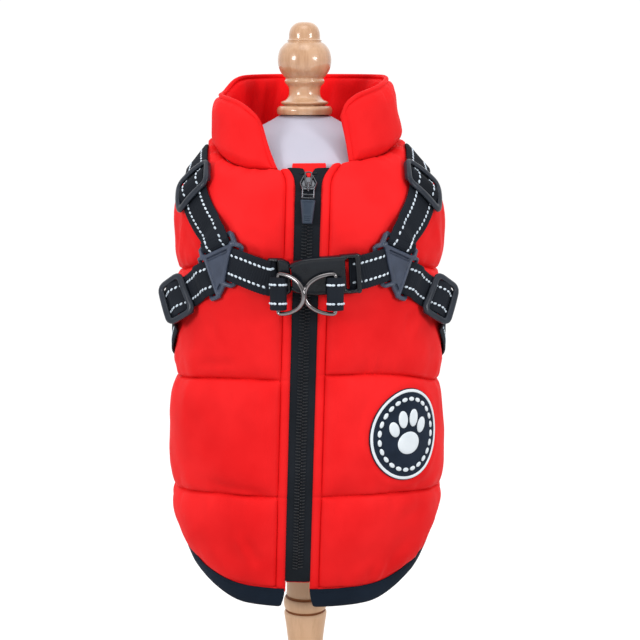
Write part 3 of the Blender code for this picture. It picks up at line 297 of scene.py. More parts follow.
def level_lines(degrees):
    """The lengths up the body line of the bottom, each quilting line and the neck seam."""
    degrees = np.asarray(degrees, float)
    side = np.where(np.abs(degrees) < 90.0, np.sin(np.radians(degrees)) ** 4, 1.0)
    lines = [read_table(HEM_FOOT, degrees) + HEM_BINDING + HEM_GAP]
    far = np.clip((180.0 - np.abs(degrees)) / 90.0, 0.0, 1.0)
    share = 0.5 + 0.5 * np.sign(degrees) * far * far * (3.0 - 2.0 * far)
    for left, left_drop, right, right_drop in QUILT_LINES:
        level = left - left_drop * side
        level = level + share * (right - right_drop * side - level)
        gap = level - lines[-1] - LEAST_BAND
        lines.append(lines[-1] + LEAST_BAND + 0.5 * (gap + np.hypot(gap, LEAST_BAND)))
    lines.append(read_table(NECK_SEAM, degrees))
    return np.stack(lines)


def armhole_distance(degrees, up):
    """How far a place lies outside the armhole on its side."""
    across = (np.abs(degrees) - SIDE_SEAM) / degrees_per_mm(SIDE_SEAM, ARMHOLE_UP)
    reach = np.hypot(across / ARMHOLE_HALF_WIDE, (up - ARMHOLE_UP) / ARMHOLE_HALF_TALL)
    return (reach - 1.0) * ARMHOLE_HALF_WIDE


def bump(distance, width):
    """1 at a line, falling to 0 a few widths away."""
    return np.exp(-(distance / width) ** 2)


def soft_noise(x, y, seed):
    """Smooth noise from -1 to 1 with a hill or a hollow every unit."""
    lattice = np.random.default_rng(seed).uniform(-1.0, 1.0, (64, 64))
    left, low = np.floor(x).astype(int), np.floor(y).astype(int)
    fx, fy = x - left, y - low
    fx, fy = fx * fx * (3 - 2 * fx), fy * fy * (3 - 2 * fy)
    a, b = lattice[left % 64, low % 64], lattice[(left + 1) % 64, low % 64]
    c, d = lattice[left % 64, (low + 1) % 64], lattice[(left + 1) % 64, (low + 1) % 64]
    return (a * (1 - fx) + b * fx) * (1 - fy) + (c * (1 - fx) + d * fx) * fy


# ---------- making meshes ----------


def grid_faces(rows, columns, round_it=False, start=0):
    """Quads between the rows and columns of a grid of points."""
    r = np.arange(rows - 1)[:, None] * columns
    c = np.arange(columns if round_it else columns - 1)[None, :]
    n = (c + 1) % columns
    corners = np.broadcast_arrays(r + c, r + n, r + columns + n, r + columns + c)
    return (np.stack(corners, axis=-1).reshape(-1, 4) + start).tolist()


def wall(outer, inner):
    """The points and faces of a closed wall between two grids of the same size."""
    rows, columns = outer.shape[:2]
    shift = rows * columns
    faces = grid_faces(rows, columns) + [f[::-1] for f in grid_faces(rows, columns, start=shift)]
    rim = [c for c in range(columns)] + [r * columns + columns - 1 for r in range(1, rows)]
    rim += [(rows - 1) * columns + c for c in range(columns - 2, -1, -1)]
    rim += [r * columns for r in range(rows - 2, 0, -1)]
    faces += [[b, a, shift + a, shift + b] for a, b in zip(rim, rim[1:] + rim[:1])]
    return np.concatenate([outer.reshape(-1, 3), inner.reshape(-1, 3)]), faces


def tube(rings, round_it=False):
    """The points and faces of a body through rings of points, capped unless the rings run round."""
    rings = np.asarray(rings, float)
    count, sides = rings.shape[:2]
    if round_it:
        faces = grid_faces(count + 1, sides, round_it=True)
        faces = [[k % (count * sides) for k in face] for face in faces]
    else:
        faces = grid_faces(count, sides, round_it=True)
        faces.append(list(range(sides))[::-1])
        faces.append([(count - 1) * sides + k for k in range(sides)])
    return rings.reshape(-1, 3), faces


def swept(tracks, round_it=False):
    """A body swept along side by side tracks, each the path of one corner of its section."""
    return tube(np.stack(tracks, axis=1), round_it)


def walked_along(points):
    """How far along a line each of its points lies."""
    return np.concatenate([[0.0], np.cumsum(np.linalg.norm(np.diff(points, axis=0), axis=1))])


def merged(parts):
    """Several (points, faces) as one."""
    points, faces, count = [], [], 0
    for some, quads in parts:
        points.append(np.asarray(some, float))
        faces += [[k + count for k in face] for face in quads]
        count += len(some)
    return np.concatenate(points), faces


def tiled(template, origins, axes):
    """A small shape repeated: axes holds the directions of the shape's x, y and z at each origin."""
    points, faces = template
    placed = origins[:, None, :] + np.einsum("pk,mkc->mpc", points, axes)
    size = len(points)
    return placed.reshape(-1, 3), [[m * size + k for k in f] for m in range(len(origins)) for f in faces]


def pill(long, wide, tall, sides=8, rounds=3):
    """A rounded bar along x."""
    rings = []
    squeeze = wide / 2
    turn = np.arange(sides) * TAU / sides
    for k in range(-rounds, rounds + 1):
        slope = math.pi / 2 * k / (rounds + 0.35)
        x = math.copysign(long / 2 - squeeze, k) + squeeze * math.sin(slope) if k else 0.0
        r = math.cos(slope)
        ring = [np.full(sides, x), r * wide / 2 * np.cos(turn), r * tall / 2 * np.sin(turn)]
        rings.append(np.stack(ring, axis=1))
    return tube(rings)


def new_object(name, points, faces, turned=True):
    """An object in the scene, its faces turned outward if asked."""
    mesh = bpy.data.meshes.new(name)
    mesh.from_pydata(points, [], faces)
    if turned:
        shape = bmesh.new()
        shape.from_mesh(mesh)
        bmesh.ops.recalc_face_normals(shape, faces=shape.faces)
        shape.to_mesh(mesh)
        shape.free()
    piece = bpy.data.objects.new(name, mesh)
    bpy.context.scene.collection.objects.link(piece)
    return piece


def applied(piece):
    """A new mesh: the piece's with its modifiers applied."""
    graph = bpy.context.evaluated_depsgraph_get()
    graph.update()
    return bpy.data.meshes.new_from_object(piece.evaluated_get(graph))


def add_mesh(name, shape, material, slot, body="coat", replaces=(), crease=50.0):
    """A piece of the scene, its points in millimetres. It rides on a body and may stand for solids."""
    points, faces = shape
    piece = new_object(name, np.asarray(points, float) * MM, faces)
    piece.data.materials.append(material)
    piece.data.shade_smooth()
    piece.data.set_sharp_from_angle(angle=math.radians(crease))
    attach(piece, body)
    if replaces:
        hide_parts(*replaces)
    return piece


def stand_in(look, node, shape, material, slot, **settings):
    """The piece that stands for one solid, named after it."""
    return add_mesh(f"{look}_{node}", shape, material, slot, replaces=(node,), **settings)


# ---------- materials ----------


def add_node(tree, kind, inputs=(), **settings):
    """A shader node. inputs maps a socket's name or number to a value or to another socket."""
    node = tree.nodes.new(kind)
    for key, value in settings.items():
        setattr(node, key, value)
    for key, value in dict(inputs).items():
        if isinstance(value, bpy.types.NodeSocket):
            tree.links.new(value, node.inputs[key])
        else:
            node.inputs[key].default_value = value
    return node


def surface(name, colour, roughness, metallic=0.0, **sockets):
    """A material with plain values on its shader, and its tree, shader and coordinates."""
    material = bpy.data.materials.new(name)
    material.use_nodes = True
    tree = material.node_tree
    shader = tree.nodes["Principled BSDF"]
    shader.inputs["Base Color"].default_value = (*colour, 1.0)
    shader.inputs["Roughness"].default_value = roughness
    shader.inputs["Metallic"].default_value = metallic
    for socket, value in sockets.items():
        shader.inputs[socket.replace("_", " ")].default_value = value
    where = add_node(tree, "ShaderNodeTexCoord").outputs["Object"]
    return material, tree, shader, where


def noise(tree, where, scale, detail=2.0, roughness=0.5, stretch=(1.0, 1.0, 1.0)):
    """A noise pattern with hills about 1 / scale metres apart."""
    mapped = add_node(tree, "ShaderNodeMapping", {"Vector": where, "Scale": stretch})
    inputs = {"Vector": mapped.outputs[0], "Scale": scale, "Detail": detail, "Roughness": roughness}
    return add_node(tree, "ShaderNodeTexNoise", inputs).outputs["Fac"]


def tint(tree, shader, pattern, low, high, edges=(0.3, 0.7)):
    """Colours the shader from low to high along a pattern."""
    ramp = add_node(tree, "ShaderNodeValToRGB", {"Fac": pattern})
    for stop, place, colour in zip(ramp.color_ramp.elements, edges, (low, high)):
        stop.position = place
        stop.color = (*colour, 1.0)
    tree.links.new(ramp.outputs["Color"], shader.inputs["Base Color"])
    return ramp


def roughen(tree, shader, pattern, low, high):
    """Spreads the roughness from low to high along a pattern."""
    spread = add_node(tree, "ShaderNodeMapRange", {"Value": pattern, "To Min": low, "To Max": high})
    tree.links.new(spread.outputs["Result"], shader.inputs["Roughness"])


def raise_by(tree, shader, layers):
    """Bump from layers of (pattern, height in mm)."""
    normal = None
    for pattern, height in layers:
        inputs = {"Height": pattern, "Strength": 1.0, "Distance": height * MM}
        if normal is not None:
            inputs["Normal"] = normal
        normal = add_node(tree, "ShaderNodeBump", inputs).outputs["Normal"]
    tree.links.new(normal, shader.inputs["Normal"])


def cloth_material(name, low, high, roughness, weave, crumple, gloss):
    """Woven cloth: fine yarns, a soft crumple and a slow drift of colour."""
    material, tree, shader, where = surface(name, high, roughness, Specular_IOR_Level=gloss)
    drift = noise(tree, where, 22.0, 3.0)
    tint(tree, shader, drift, low, high, (0.35, 0.6))
    yarn = add_node(tree, "ShaderNodeTexVoronoi", {"Vector": where, "Scale": 1.0 / (weave * MM)})
    soft = noise(tree, where, 130.0, 4.0, 0.6)
    roughen(tree, shader, soft, roughness - 0.07, roughness + 0.07)
    raise_by(tree, shader, [(soft, crumple), (yarn.outputs["Distance"], 0.03)])
    return material


def plastic_material(name, low, high, roughness, grain, gloss):
    """Moulded plastic: a fine spark-eroded grain and slight wear in its gloss."""
    material, tree, shader, where = surface(name, high, roughness, Specular_IOR_Level=gloss)
    tint(tree, shader, noise(tree, where, 120.0, 3.0), low, high, (0.3, 0.65))
    fine = noise(tree, where, 2600.0, 2.0)
    roughen(tree, shader, noise(tree, where, 300.0, 3.0), roughness - 0.08, roughness + 0.1)
    raise_by(tree, shader, [(fine, grain)])
    return material


def metal_material(name, colour, roughness):
    """Polished metal with faint scratches."""
    material, tree, shader, where = surface(name, colour, roughness, 1.0)
    marks = noise(tree, where, 700.0, 4.0, 0.6, (1.0, 1.0, 0.35))
    tint(tree, shader, marks, tuple(0.8 * c for c in colour), colour)
    roughen(tree, shader, marks, roughness * 0.6, roughness * 1.6)
    raise_by(tree, shader, [(marks, 0.008)])
    return material


def wood_material(name, light, dark, roughness, coat, grain):
    """Turned beech: grain and short flecks drawn out one way, and a varnish."""
    material, tree, shader, where = surface(
        name, light, roughness, Coat_Weight=coat, Coat_Roughness=0.09, Specular_IOR_Level=0.4
    )
    broad = noise(tree, where, 120.0, 4.0, 0.6, grain)
    finer = tuple(0.44 * scale if scale < 1.0 else scale for scale in grain)
    fleck = noise(tree, where, 900.0, 3.0, 0.7, finer)
    mixed = add_node(tree, "ShaderNodeMath", {0: broad, 1: 0.7}, operation="MULTIPLY")
    both = add_node(
        tree, "ShaderNodeMath", {0: fleck, 1: 0.3, 2: mixed.outputs[0]}, operation="MULTIPLY_ADD"
    )
    tint(tree, shader, both.outputs[0], dark, light, (0.36, 0.56))
    roughen(tree, shader, fleck, roughness - 0.06, roughness + 0.1)
    raise_by(tree, shader, [(fleck, 0.03)])
    return material


# Cloths: name, darker colour, lighter colour, roughness, size of a yarn in mm, crumple in mm, gloss.
CLOTHS = [
    ("red_nylon", (0.71, 0.0105, 0.012), (0.8, 0.0165, 0.018), 0.6, 0.45, 0.22, 0.05),
    # The next row is a darker copy of the red nylon: painted shade for the inside of the collar, not a
    # differently dyed lining.
    ("red_lining_painted_shade", (0.68, 0.0035, 0.006), (0.78, 0.006, 0.008), 0.55, 0.45, 0.16, 0.05),
    ("red_thread", (0.56, 0.004, 0.006), (0.66, 0.007, 0.009), 0.7, 0.3, 0.12, 0.08),
    ("navy_bias_tape", (0.0045, 0.009, 0.017), (0.0075, 0.014, 0.026), 0.72, 0.6, 0.12, 0.08),
    ("dark_webbing", (0.005, 0.0068, 0.0105), (0.009, 0.012, 0.018), 0.7, 0.5, 0.1, 0.12),
    ("zip_twill", (0.0065, 0.0085, 0.011), (0.012, 0.015, 0.02), 0.75, 0.5, 0.12, 0.08),
    ("form_jersey", (0.445, 0.44, 0.52), (0.495, 0.485, 0.575), 0.85, 0.7, 0.06, 0.08),
]
RED, LINING_PAINTED_SHADE, RED_THREAD, BINDING, WEBBING, TAPE, KNIT = (
    cloth_material(*row) for row in CLOTHS
)
# Mouldings: name, darker colour, lighter colour, roughness, grain in mm, gloss.
PLASTICS = [
    ("reflective_yarn", (0.48, 0.56, 0.64), (0.66, 0.74, 0.82), 0.5, 0.02, 0.3),
    ("slate_plastic_look", (0.032, 0.042, 0.067), (0.046, 0.06, 0.096), 0.34, 0.02, 0.3),
    ("black_plastic_look", (0.004, 0.0055, 0.0085), (0.0075, 0.01, 0.0145), 0.19, 0.015, 0.26),
    ("zip_teeth", (0.008, 0.0095, 0.012), (0.018, 0.021, 0.025), 0.34, 0.02, 0.3),
    ("slide_plastic_look", (0.013, 0.0175, 0.026), (0.02, 0.026, 0.038), 0.3, 0.02, 0.24),
    ("grip_rubber_look", (0.016, 0.027, 0.046), (0.024, 0.038, 0.062), 0.5, 0.02, 0.3),
    ("patch_field", (0.008, 0.014, 0.026), (0.012, 0.02, 0.036), 0.6, 0.05, 0.08),
    ("patch_white", (0.66, 0.72, 0.77), (0.74, 0.79, 0.83), 0.6, 0.03, 0.12),
]
(
    DASH, SLATE, BLACK, TOOTH, DARK_SLATE,
    GRIP, PATCH_FIELD, PATCH_WHITE,
) = (plastic_material(*row) for row in PLASTICS)
NICKEL = metal_material("slider_nickel", (0.095, 0.10, 0.11), 0.2)
CHROME = metal_material("ring_chrome", (0.19, 0.18, 0.185), 0.08)
# Woods: name, light colour, dark colour, roughness, varnish, and the grain's scale along x, y and z.
UPRIGHT, LEVEL = (1.0, 1.0, 0.16), (0.12, 1.0, 1.0)
BEECH = (0.64, 0.42, 0.265), (0.55, 0.345, 0.205), 0.5, 0.15
FINIAL_WOOD = wood_material("finial_beech", (0.56, 0.335, 0.195), (0.42, 0.225, 0.115), 0.3, 0.8, UPRIGHT)
POST_WOOD = wood_material("post_beech", *BEECH, UPRIGHT)
BASE_WOOD = wood_material("base_beech", *BEECH, LEVEL)
BURNT = wood_material("burnt_groove", (0.27, 0.10, 0.035), (0.20, 0.065, 0.022), 0.6, 0.0, UPRIGHT)


# ---------- the harness's places, which press on the padding too ----------


def yoke_arms():
    """Each arm of a yoke: the middle of its plate's edge, its direction and the edge's direction."""
    plate = np.array(YOKE_PLATE)
    arms = []
    for a, b in ((0, 1), (1, 2), (3, 0)):
        edge = plate[b] - plate[a]
        away = np.array([-edge[1], edge[0]]) / np.linalg.norm(edge)
        arms.append(((plate[a] + plate[b]) / 2, away, np.array([away[1], -away[0]])))
    return arms


def from_yoke(arm, rest):
    """A strap's route: out of a yoke's slot, square to it, and on through the rest."""
    middle, away, _ = yoke_arms()[arm]
    per_mm = degrees_per_mm(*YOKE)
    spots = [middle + away * run for run in (0.5, 4.5, SLOT + BAR + 1.5)]
    return [(YOKE[0] + u * per_mm, YOKE[1] + v) for u, v in spots] + rest


def walk(route):
    """A route's fine points (degrees, up) and how far along it each lies."""
    fine = curve_through(route, 16)
    per_mm = degrees_per_mm(fine[:-1, 0], fine[:-1, 1])
    steps = np.hypot(np.diff(fine[:, 0]) / per_mm, np.diff(fine[:, 1]))
    return fine, np.concatenate([[0.0], np.cumsum(steps)])


def nearest_on(route, spot):
    """The distance along a route and its heading, at the place nearest to a spot."""
    fine, walked = walk(route)
    per_mm = degrees_per_mm(*spot)
    off = np.hypot((fine[1:-1, 0] - spot[0]) / per_mm, fine[1:-1, 1] - spot[1])
    k = int(np.argmin(off)) + 1
    run = fine[k + 1] - fine[k - 1]
    return walked[k], math.degrees(math.atan2(run[1], run[0] / per_mm))


def buckle_route(side, end_x):
    """The short band from a yoke to the buckle."""
    middle, away, _ = yoke_arms()[2]
    per_mm = degrees_per_mm(*YOKE)
    centre = front_degrees(0.0, BUCKLE_UP)
    at_zip = degrees_per_mm(centre, BUCKLE_UP)
    route = [(YOKE[0] + u * per_mm, YOKE[1] + v) for u, v in (middle + away * 0.5, middle + away * 6.5)]
    for x in (end_x + side * 0.5, end_x - side * (BAR + 0.2 + SLOT - 1.5)):
        rise = x * math.sin(math.radians(BUCKLE_TURN))
        route.append((side * (centre + x * at_zip), BUCKLE_UP + rise))
    return route


NECK_WHOLE = from_yoke(0, NECK_ROUTE)
GIRTH_WHOLE = from_yoke(1, GIRTH_ROUTE)


# Each band of the buckle: its side and where it meets the buckle.
BUCKLE_BANDS = [(word, side, end_x) for (word, side), end_x in zip(SIDES, BUCKLE_X)]
# The padding's full height, and its height under the harness.
PAD_OUT = 8.0
PRESSED_OUT = 8.5


def strap_lines():
    """Points along every strap, on the padding's surface."""
    routes = [(side, route) for route in (NECK_WHOLE, GIRTH_WHOLE) for _, side in SIDES]
    routes += [(side, buckle_route(side, end_x)) for _, side, end_x in BUCKLE_BANDS]
    lines = []
    for side, route in routes:
        fine, _ = walk(route)
        lines.append(on_skin(side * fine[:, 0], fine[:, 1], PAD_OUT))
    return np.concatenate(lines)


STRAPS = strap_lines()
HARD_SPOTS = np.concatenate([
    on_skin(np.array([-YOKE[0], YOKE[0]]), np.full(2, YOKE[1]), PAD_OUT),
    on_skin(np.linspace(-14.0, 24.0, 9), np.full(9, BUCKLE_UP), PAD_OUT),
])


def nearest(points, targets):
    """How far each point lies from the nearest target."""
    flat = points.reshape(-1, 3)
    best = np.full(len(flat), 1e9)
    for chunk in np.array_split(targets, max(1, len(targets) // 60)):
        away = np.linalg.norm(flat[:, None, :] - chunk[None, :, :], axis=-1).min(axis=1)
        best = np.minimum(best, away)
    return best.reshape(points.shape[:-1])


# ---------- the padded coat ----------

# Folds in the padding: angle, length up, heading in degrees from across to up, length, width, height.
FOLDS = [
    (-67.0, 221.0, 63.0, 26.0, 3.4, 1.0), (-74.0, 226.0, 70.0, 20.0, 4.5, -0.9),
    (70.0, 221.0, -55.0, 20.0, 3.2, 0.9), (78.0, 228.0, -60.0, 20.0, 4.0, -0.8),
    (48.0, 174.0, 75.0, 13.0, 3.4, -1.3), (52.0, 170.0, 60.0, 12.0, 3.0, 0.6),
    (-45.0, 172.0, -70.0, 14.0, 3.6, -0.7), (-58.0, 150.0, 20.0, 22.0, 4.0, 0.5),
    (-42.0, 149.0, 8.0, 30.0, 3.2, -0.7), (-30.0, 76.0, -4.0, 34.0, 3.0, -0.8),
    (-23.0, 38.0, -62.0, 17.0, 4.2, -1.1), (-27.0, 41.0, -60.0, 15.0, 4.0, 0.7),
    (-55.0, 44.0, 40.0, 26.0, 5.0, 0.6), (-52.0, 72.0, -10.0, 24.0, 4.0, 0.5),
    (50.0, 57.0, 12.0, 22.0, 5.0, -0.8), (43.0, 36.0, 42.0, 20.0, 6.0, -0.8),
    (38.0, 24.0, 75.0, 13.0, 3.0, -0.8), (29.0, 21.0, 88.0, 12.0, 3.0, -0.9),
    (34.0, 22.0, 84.0, 12.0, 3.2, 0.5), (60.0, 75.0, 15.0, 26.0, 4.0, -0.6),
    (20.0, 240.0, 10.0, 40.0, 9.0, 0.4), (-20.0, 246.0, -12.0, 36.0, 8.0, -0.4),
    (-62.0, 120.0, 78.0, 36.0, 8.0, 0.5), (75.0, 130.0, 85.0, 30.0, 7.0, 0.5),
    (-96.0, 170.0, 60.0, 26.0, 4.5, 0.9), (-100.0, 222.0, -48.0, 30.0, 5.0, 0.9),
    (-92.0, 212.0, -40.0, 26.0, 4.5, -0.9), (98.0, 176.0, -58.0, 28.0, 4.5, 0.9),
    (101.0, 220.0, 50.0, 30.0, 5.0, 0.9), (93.0, 213.0, 42.0, 24.0, 4.5, -0.9),
    (-112.0, 120.0, 80.0, 34.0, 6.0, 0.8), (110.0, 118.0, -80.0, 32.0, 6.0, 0.8),
    (-104.0, 100.0, 30.0, 26.0, 4.0, -0.7), (106.0, 98.0, -25.0, 26.0, 4.0, -0.7),
    (150.0, 200.0, 70.0, 36.0, 6.0, 0.8), (-150.0, 196.0, -66.0, 34.0, 6.0, 0.8),
    (170.0, 215.0, 90.0, 30.0, 7.0, -0.7), (-168.0, 120.0, 80.0, 34.0, 7.0, 0.7),
    (160.0, 112.0, -74.0, 30.0, 6.0, -0.7), (145.0, 165.0, 20.0, 26.0, 4.5, 0.8),
    (-146.0, 168.0, -16.0, 26.0, 4.5, -0.7), (180.0, 262.0, 2.0, 30.0, 6.0, 0.6),
    (-90.0, 262.0, 35.0, 30.0, 6.0, 0.6), (92.0, 258.0, -35.0, 28.0, 6.0, 0.6),
]


def seam_distances(degrees, up):
    """Each place's distance to the nearest cross seam."""
    lines = level_lines(degrees)
    return np.abs(up[None] - lines).min(axis=0)


def folds_at(degrees, up):
    """The height of the folds at a place."""
    total = np.zeros_like(up)
    for angle, level, heading, long, wide, high in FOLDS:
        off = (degrees - angle + 180.0) % 360.0 - 180.0
        x = off / degrees_per_mm(angle, level)
        y = up - level
        cos, sin = math.cos(math.radians(heading)), math.sin(math.radians(heading))
        along, across = x * cos + y * sin, y * cos - x * sin
        total += FOLD_SCALE * high * np.exp(-(across / wide) ** 2 - (along / (long / 2)) ** 4)
    return total


# About how far a degree reaches along the padding's surface.
MM_PER_DEGREE = 1.45
# How much higher folds stand than their table says, and the fullness beside the neck seam at the shoulders.
FOLD_SCALE = 1.45
SHOULDER_AT = 88.0
SHOULDER_FULL = 2.5
ARMHOLE_HEM = 2.4


def padding(degrees, up, from_seam, from_edge):
    """The padded wall's thickness: filled channels, puckers at their stitches, folds and dimples."""
    cross = seam_distances(degrees, up)
    hole = armhole_distance(degrees, up) - ARMHOLE_HEM
    rise = swell(cross, PAD_SHOULDER) * swell(from_seam, PAD_SHOULDER) * swell(hole, PAD_SHOULDER)
    if from_edge is not None:
        rise = rise * swell(from_edge - PLACKET, PAD_SHOULDER)
    x = degrees * MM_PER_DEGREE
    slack = rise * (0.8 * soft_noise(x / 27.0, up / 24.0, 3) + 0.42 * soft_noise(x / 12.0, up / 11.0, 5))
    pucker = soft_noise(x / 4.6, up / 30.0, 11) + 0.8 * soft_noise(x / 9.5, up / 36.0, 12)
    slack += 1.05 * pucker * np.exp(-cross / 7.0) * swell(cross, 2.0)
    pucker = soft_noise(up / 5.0, x / 30.0, 13) + 0.5 * soft_noise(up / 10.0, x / 30.0, 14)
    slack += 0.95 * pucker * np.exp(-from_seam / 7.5) * swell(from_seam, 3.0)
    slack += folds_at(degrees, up) * np.clip(3.0 * rise, 0.0, 1.0)
    from_neck = read_table(NECK_SEAM, degrees) - up
    shoulder = bump(np.abs(degrees) - SHOULDER_AT, 26.0) * bump(from_neck - 7.5, 5.5) * swell(from_neck, 2.0)
    height = SEWN + PAD_RISE * rise + slack + SHOULDER_FULL * shoulder
    height -= 0.75 * bump(cross, 0.9) + 1.0 * bump(from_seam, 0.8)
    if from_edge is None:
        return height
    band = np.clip(from_edge / PLACKET, 0.0, 1.0)
    flat = SEWN + 0.9 * np.sin(math.pi * band) - 0.35 * bump(cross, 1.0)
    flat -= 1.6 * (1.0 - swell(from_edge, 1.6))
    flat += 0.12 * soft_noise(x / 6.0, up / 7.0, 17)
    height = np.where(from_edge < PLACKET, flat, height)
    return height - 0.8 * bump(from_edge - PLACKET, 0.75)


def patch_seat(cross):
    """How far out the padding lies under the patch, at a distance from a cross seam."""
    return SEWN + PAD_RISE * swell(cross, PAD_SHOULDER)


def pressed(points, degrees, up, height):
    """The padding's height under and beside the harness, and under the patch."""
    strap = nearest(points, STRAPS)
    hard = nearest(points, HARD_SPOTS)
    height = height + 0.9 * bump(strap - 14.5, 3.6) * np.clip((height - 6.0) / 2.0, 0.0, 1.0)
    under = np.clip((12.5 - strap) / 3.0, 0.0, 1.0)
    under = np.maximum(under, np.clip((20.0 - hard) / 4.0, 0.0, 1.0))
    height = np.where(height > PRESSED_OUT, height * (1 - under) + PRESSED_OUT * under, height)
    x = (degrees - PATCH[0]) / degrees_per_mm(*PATCH)
    reach = np.hypot(x, up - PATCH[1])
    seat = patch_seat(seam_distances(degrees, up)) + 0.3
    mask = np.clip((PATCH_HALF + 3.0 - reach) / 3.0, 0.0, 1.0)
    height = height + (seat - height) * mask
    return height + 0.7 * bump(reach - PATCH_HALF - 3.4, 2.4)


def eased(count, pull=0.11):
    """Fractions from 0 to 1 that crowd towards both ends."""
    t = np.arange(count + 1) / count
    return t - pull * np.sin(TAU * t)


def row_fractions(counts):
    """Each row of a panel as (band number, fraction of the band)."""
    rows = []
    for band, count in enumerate(counts):
        rows += [(band, f) for f in eased(count)[:-1]]
    rows.append((len(counts) - 1, 1.0))
    return np.array(rows)


ROW_COUNTS = (30, 38, 38, 36)


def row_levels(degrees, rows):
    """The length up the body line of each row at each place."""
    lines = level_lines(degrees)
    band = rows[:, 0].astype(int)
    row = np.arange(len(rows))
    low, high = lines[band, row], lines[band + 1, row]
    return low + (high - low) * rows[:, 1][:, None]


# Under the hem binding a panel's foot is pinched thin: drop, outer distance out, inner distance out.
TUCK = ((3.0, 2.9, 1.0), (2.0, 3.0, 1.0), (1.0, 3.1, 0.9))


def tucked(outer, inner, degrees, up):
    """Adds rows below the panel's foot that the hem binding folds over."""
    faces = []
    for face, points in ((1, outer), (2, inner)):
        low = [on_skin(degrees[0], up[0] - row[0], np.full(degrees.shape[1], row[face])) for row in TUCK]
        faces.append(np.concatenate([low, points]))
    return faces


# A side panel's columns beside the zip, in mm from its edge, and how many more run on to its side seam.
PLACKET_COLUMNS = np.array([
    0.0, 0.3, 0.8, 1.6, 2.6, 3.6, 4.6, 5.2, 5.6, 5.9, 6.2, 6.6, 7.2, 8.2, 9.6, 12.0,
])
PANEL_COLUMNS = 92
BELLY_COLUMNS = 100


def panel_edges(side, up):
    """A side panel's angles at the zip and at the side seam, and the degrees in a millimetre at the zip."""
    edge = zip_degrees(side * (ZIP_HALF + opening(up)), up)
    seam = side * (SIDE_SEAM - 0.5 * SEAM_GAP * degrees_per_mm(SIDE_SEAM, up))
    return edge, seam, degrees_per_mm(edge, up)


def side_panel(name, side):
    """One side of the back, from the zip to the side seam."""
    rows = row_fractions(ROW_COUNTS)
    count = len(PLACKET_COLUMNS)
    f = eased(PANEL_COLUMNS, 0.1)[1:]
    degrees = np.full((len(rows), count + PANEL_COLUMNS), side * 40.0)
    for _ in range(7):
        edge, seam, mm = panel_edges(side, row_levels(degrees, rows))
        near = edge[:, :count] + side * PLACKET_COLUMNS * mm[:, :count]
        last = (edge + side * PLACKET_COLUMNS[-1] * mm)[:, count:]
        degrees = np.concatenate([near, last + (seam[:, count:] - last) * f], axis=1)
    up = row_levels(degrees, rows)
    edge, seam, mm = panel_edges(side, up)
    from_edge = np.abs(degrees - edge) / mm
    from_seam = np.abs(seam - degrees) / degrees_per_mm(degrees, up)
    panel(name, degrees, up, from_seam, from_edge, (side,))


def belly_panel(name):
    """The panel between the side seams."""
    rows = row_fractions(ROW_COUNTS)
    seam = SIDE_SEAM + 0.5 * SEAM_GAP * degrees_per_mm(SIDE_SEAM, ARMHOLE_UP)
    degrees = np.tile(seam + (360.0 - 2.0 * seam) * eased(BELLY_COLUMNS, 0.1), (len(rows), 1))
    signed = np.where(degrees <= 180.0, degrees, degrees - 360.0)
    up = row_levels(signed, rows)
    from_seam = (np.abs(signed) - seam) / degrees_per_mm(degrees, up)
    panel(name, signed, up, from_seam, None, (-1, 1))


def panel(name, degrees, up, from_seam, from_edge, sides):
    """A padded panel's wall, with the armholes of its sides cut."""
    height = padding(degrees, up, from_seam, from_edge)
    height = pressed(on_skin(degrees, up, PAD_OUT), degrees, up, height)
    outer = on_skin(degrees, up, height)
    inner = on_skin(degrees, up, np.zeros_like(up))
    shape = wall(*tucked(outer, inner, degrees, up))
    piece = stand_in("cloth", name, shape, RED, "red_cloth", crease=70.0)
    for side in sides:
        cut_armhole(piece, side)


def armhole_ring(side, grow, out, count=96):
    """Points round an armhole, its half sizes grown by grow, at a distance out of the skin."""
    per_mm = degrees_per_mm(SIDE_SEAM, ARMHOLE_UP)
    turn = np.arange(count) * TAU / count
    degrees = SIDE_SEAM + (ARMHOLE_HALF_WIDE + grow) * np.cos(turn) * per_mm
    up = ARMHOLE_UP + (ARMHOLE_HALF_TALL + grow) * np.sin(turn)
    return on_skin(side * degrees, up, np.full(count, out))


def cut_armhole(piece, side):
    """Cuts one armhole through a panel and leaves the mesh cut."""
    points, faces = tube([armhole_ring(side, 0.0, out) for out in (-3.0, 16.0)])
    cutter = new_object("armhole_cutter", points * MM, faces)
    cut = piece.modifiers.new("armhole", "BOOLEAN")
    cut.operation = "DIFFERENCE"
    cut.object = cutter
    whole = piece.data
    piece.data = applied(piece)
    piece.data.name = piece.name
    piece.modifiers.clear()
    bpy.data.meshes.remove(whole)
    bpy.data.objects.remove(cutter)


# The armhole tape's section: mm the oval grows by, distance out.
ARMHOLE_SECTION = [
    (2.3, 3.75), (1.0, 3.85), (-1.2, 4.3), (-2.4, 3.9), (-2.9, 2.4), (-2.4, 0.7), (-1.2, 0.1), (2.3, -0.1),
    (2.3, -0.6), (-1.4, -0.45), (-2.9, 0.3), (-3.5, 2.4), (-2.9, 4.4), (-1.3, 4.9), (1.0, 4.5), (2.3, 4.25),
]


def armhole_binding(word, side):
    """Bias tape folded over an armhole's edge, with a slight ruffle."""
    count = 140
    rings = np.stack([armhole_ring(side, grow, out, count) for grow, out in ARMHOLE_SECTION], axis=1)
    ruffle = 1.0 + 0.02 * np.sin(np.arange(count) * TAU * 23 / count)
    middle = rings.mean(axis=1, keepdims=True)
    rings = middle + (rings - middle) * ruffle[:, None, None]
    shape = tube(rings, round_it=True)
    piece = stand_in("tape", "armhole_binding_" + word, shape, BINDING, "navy_binding")


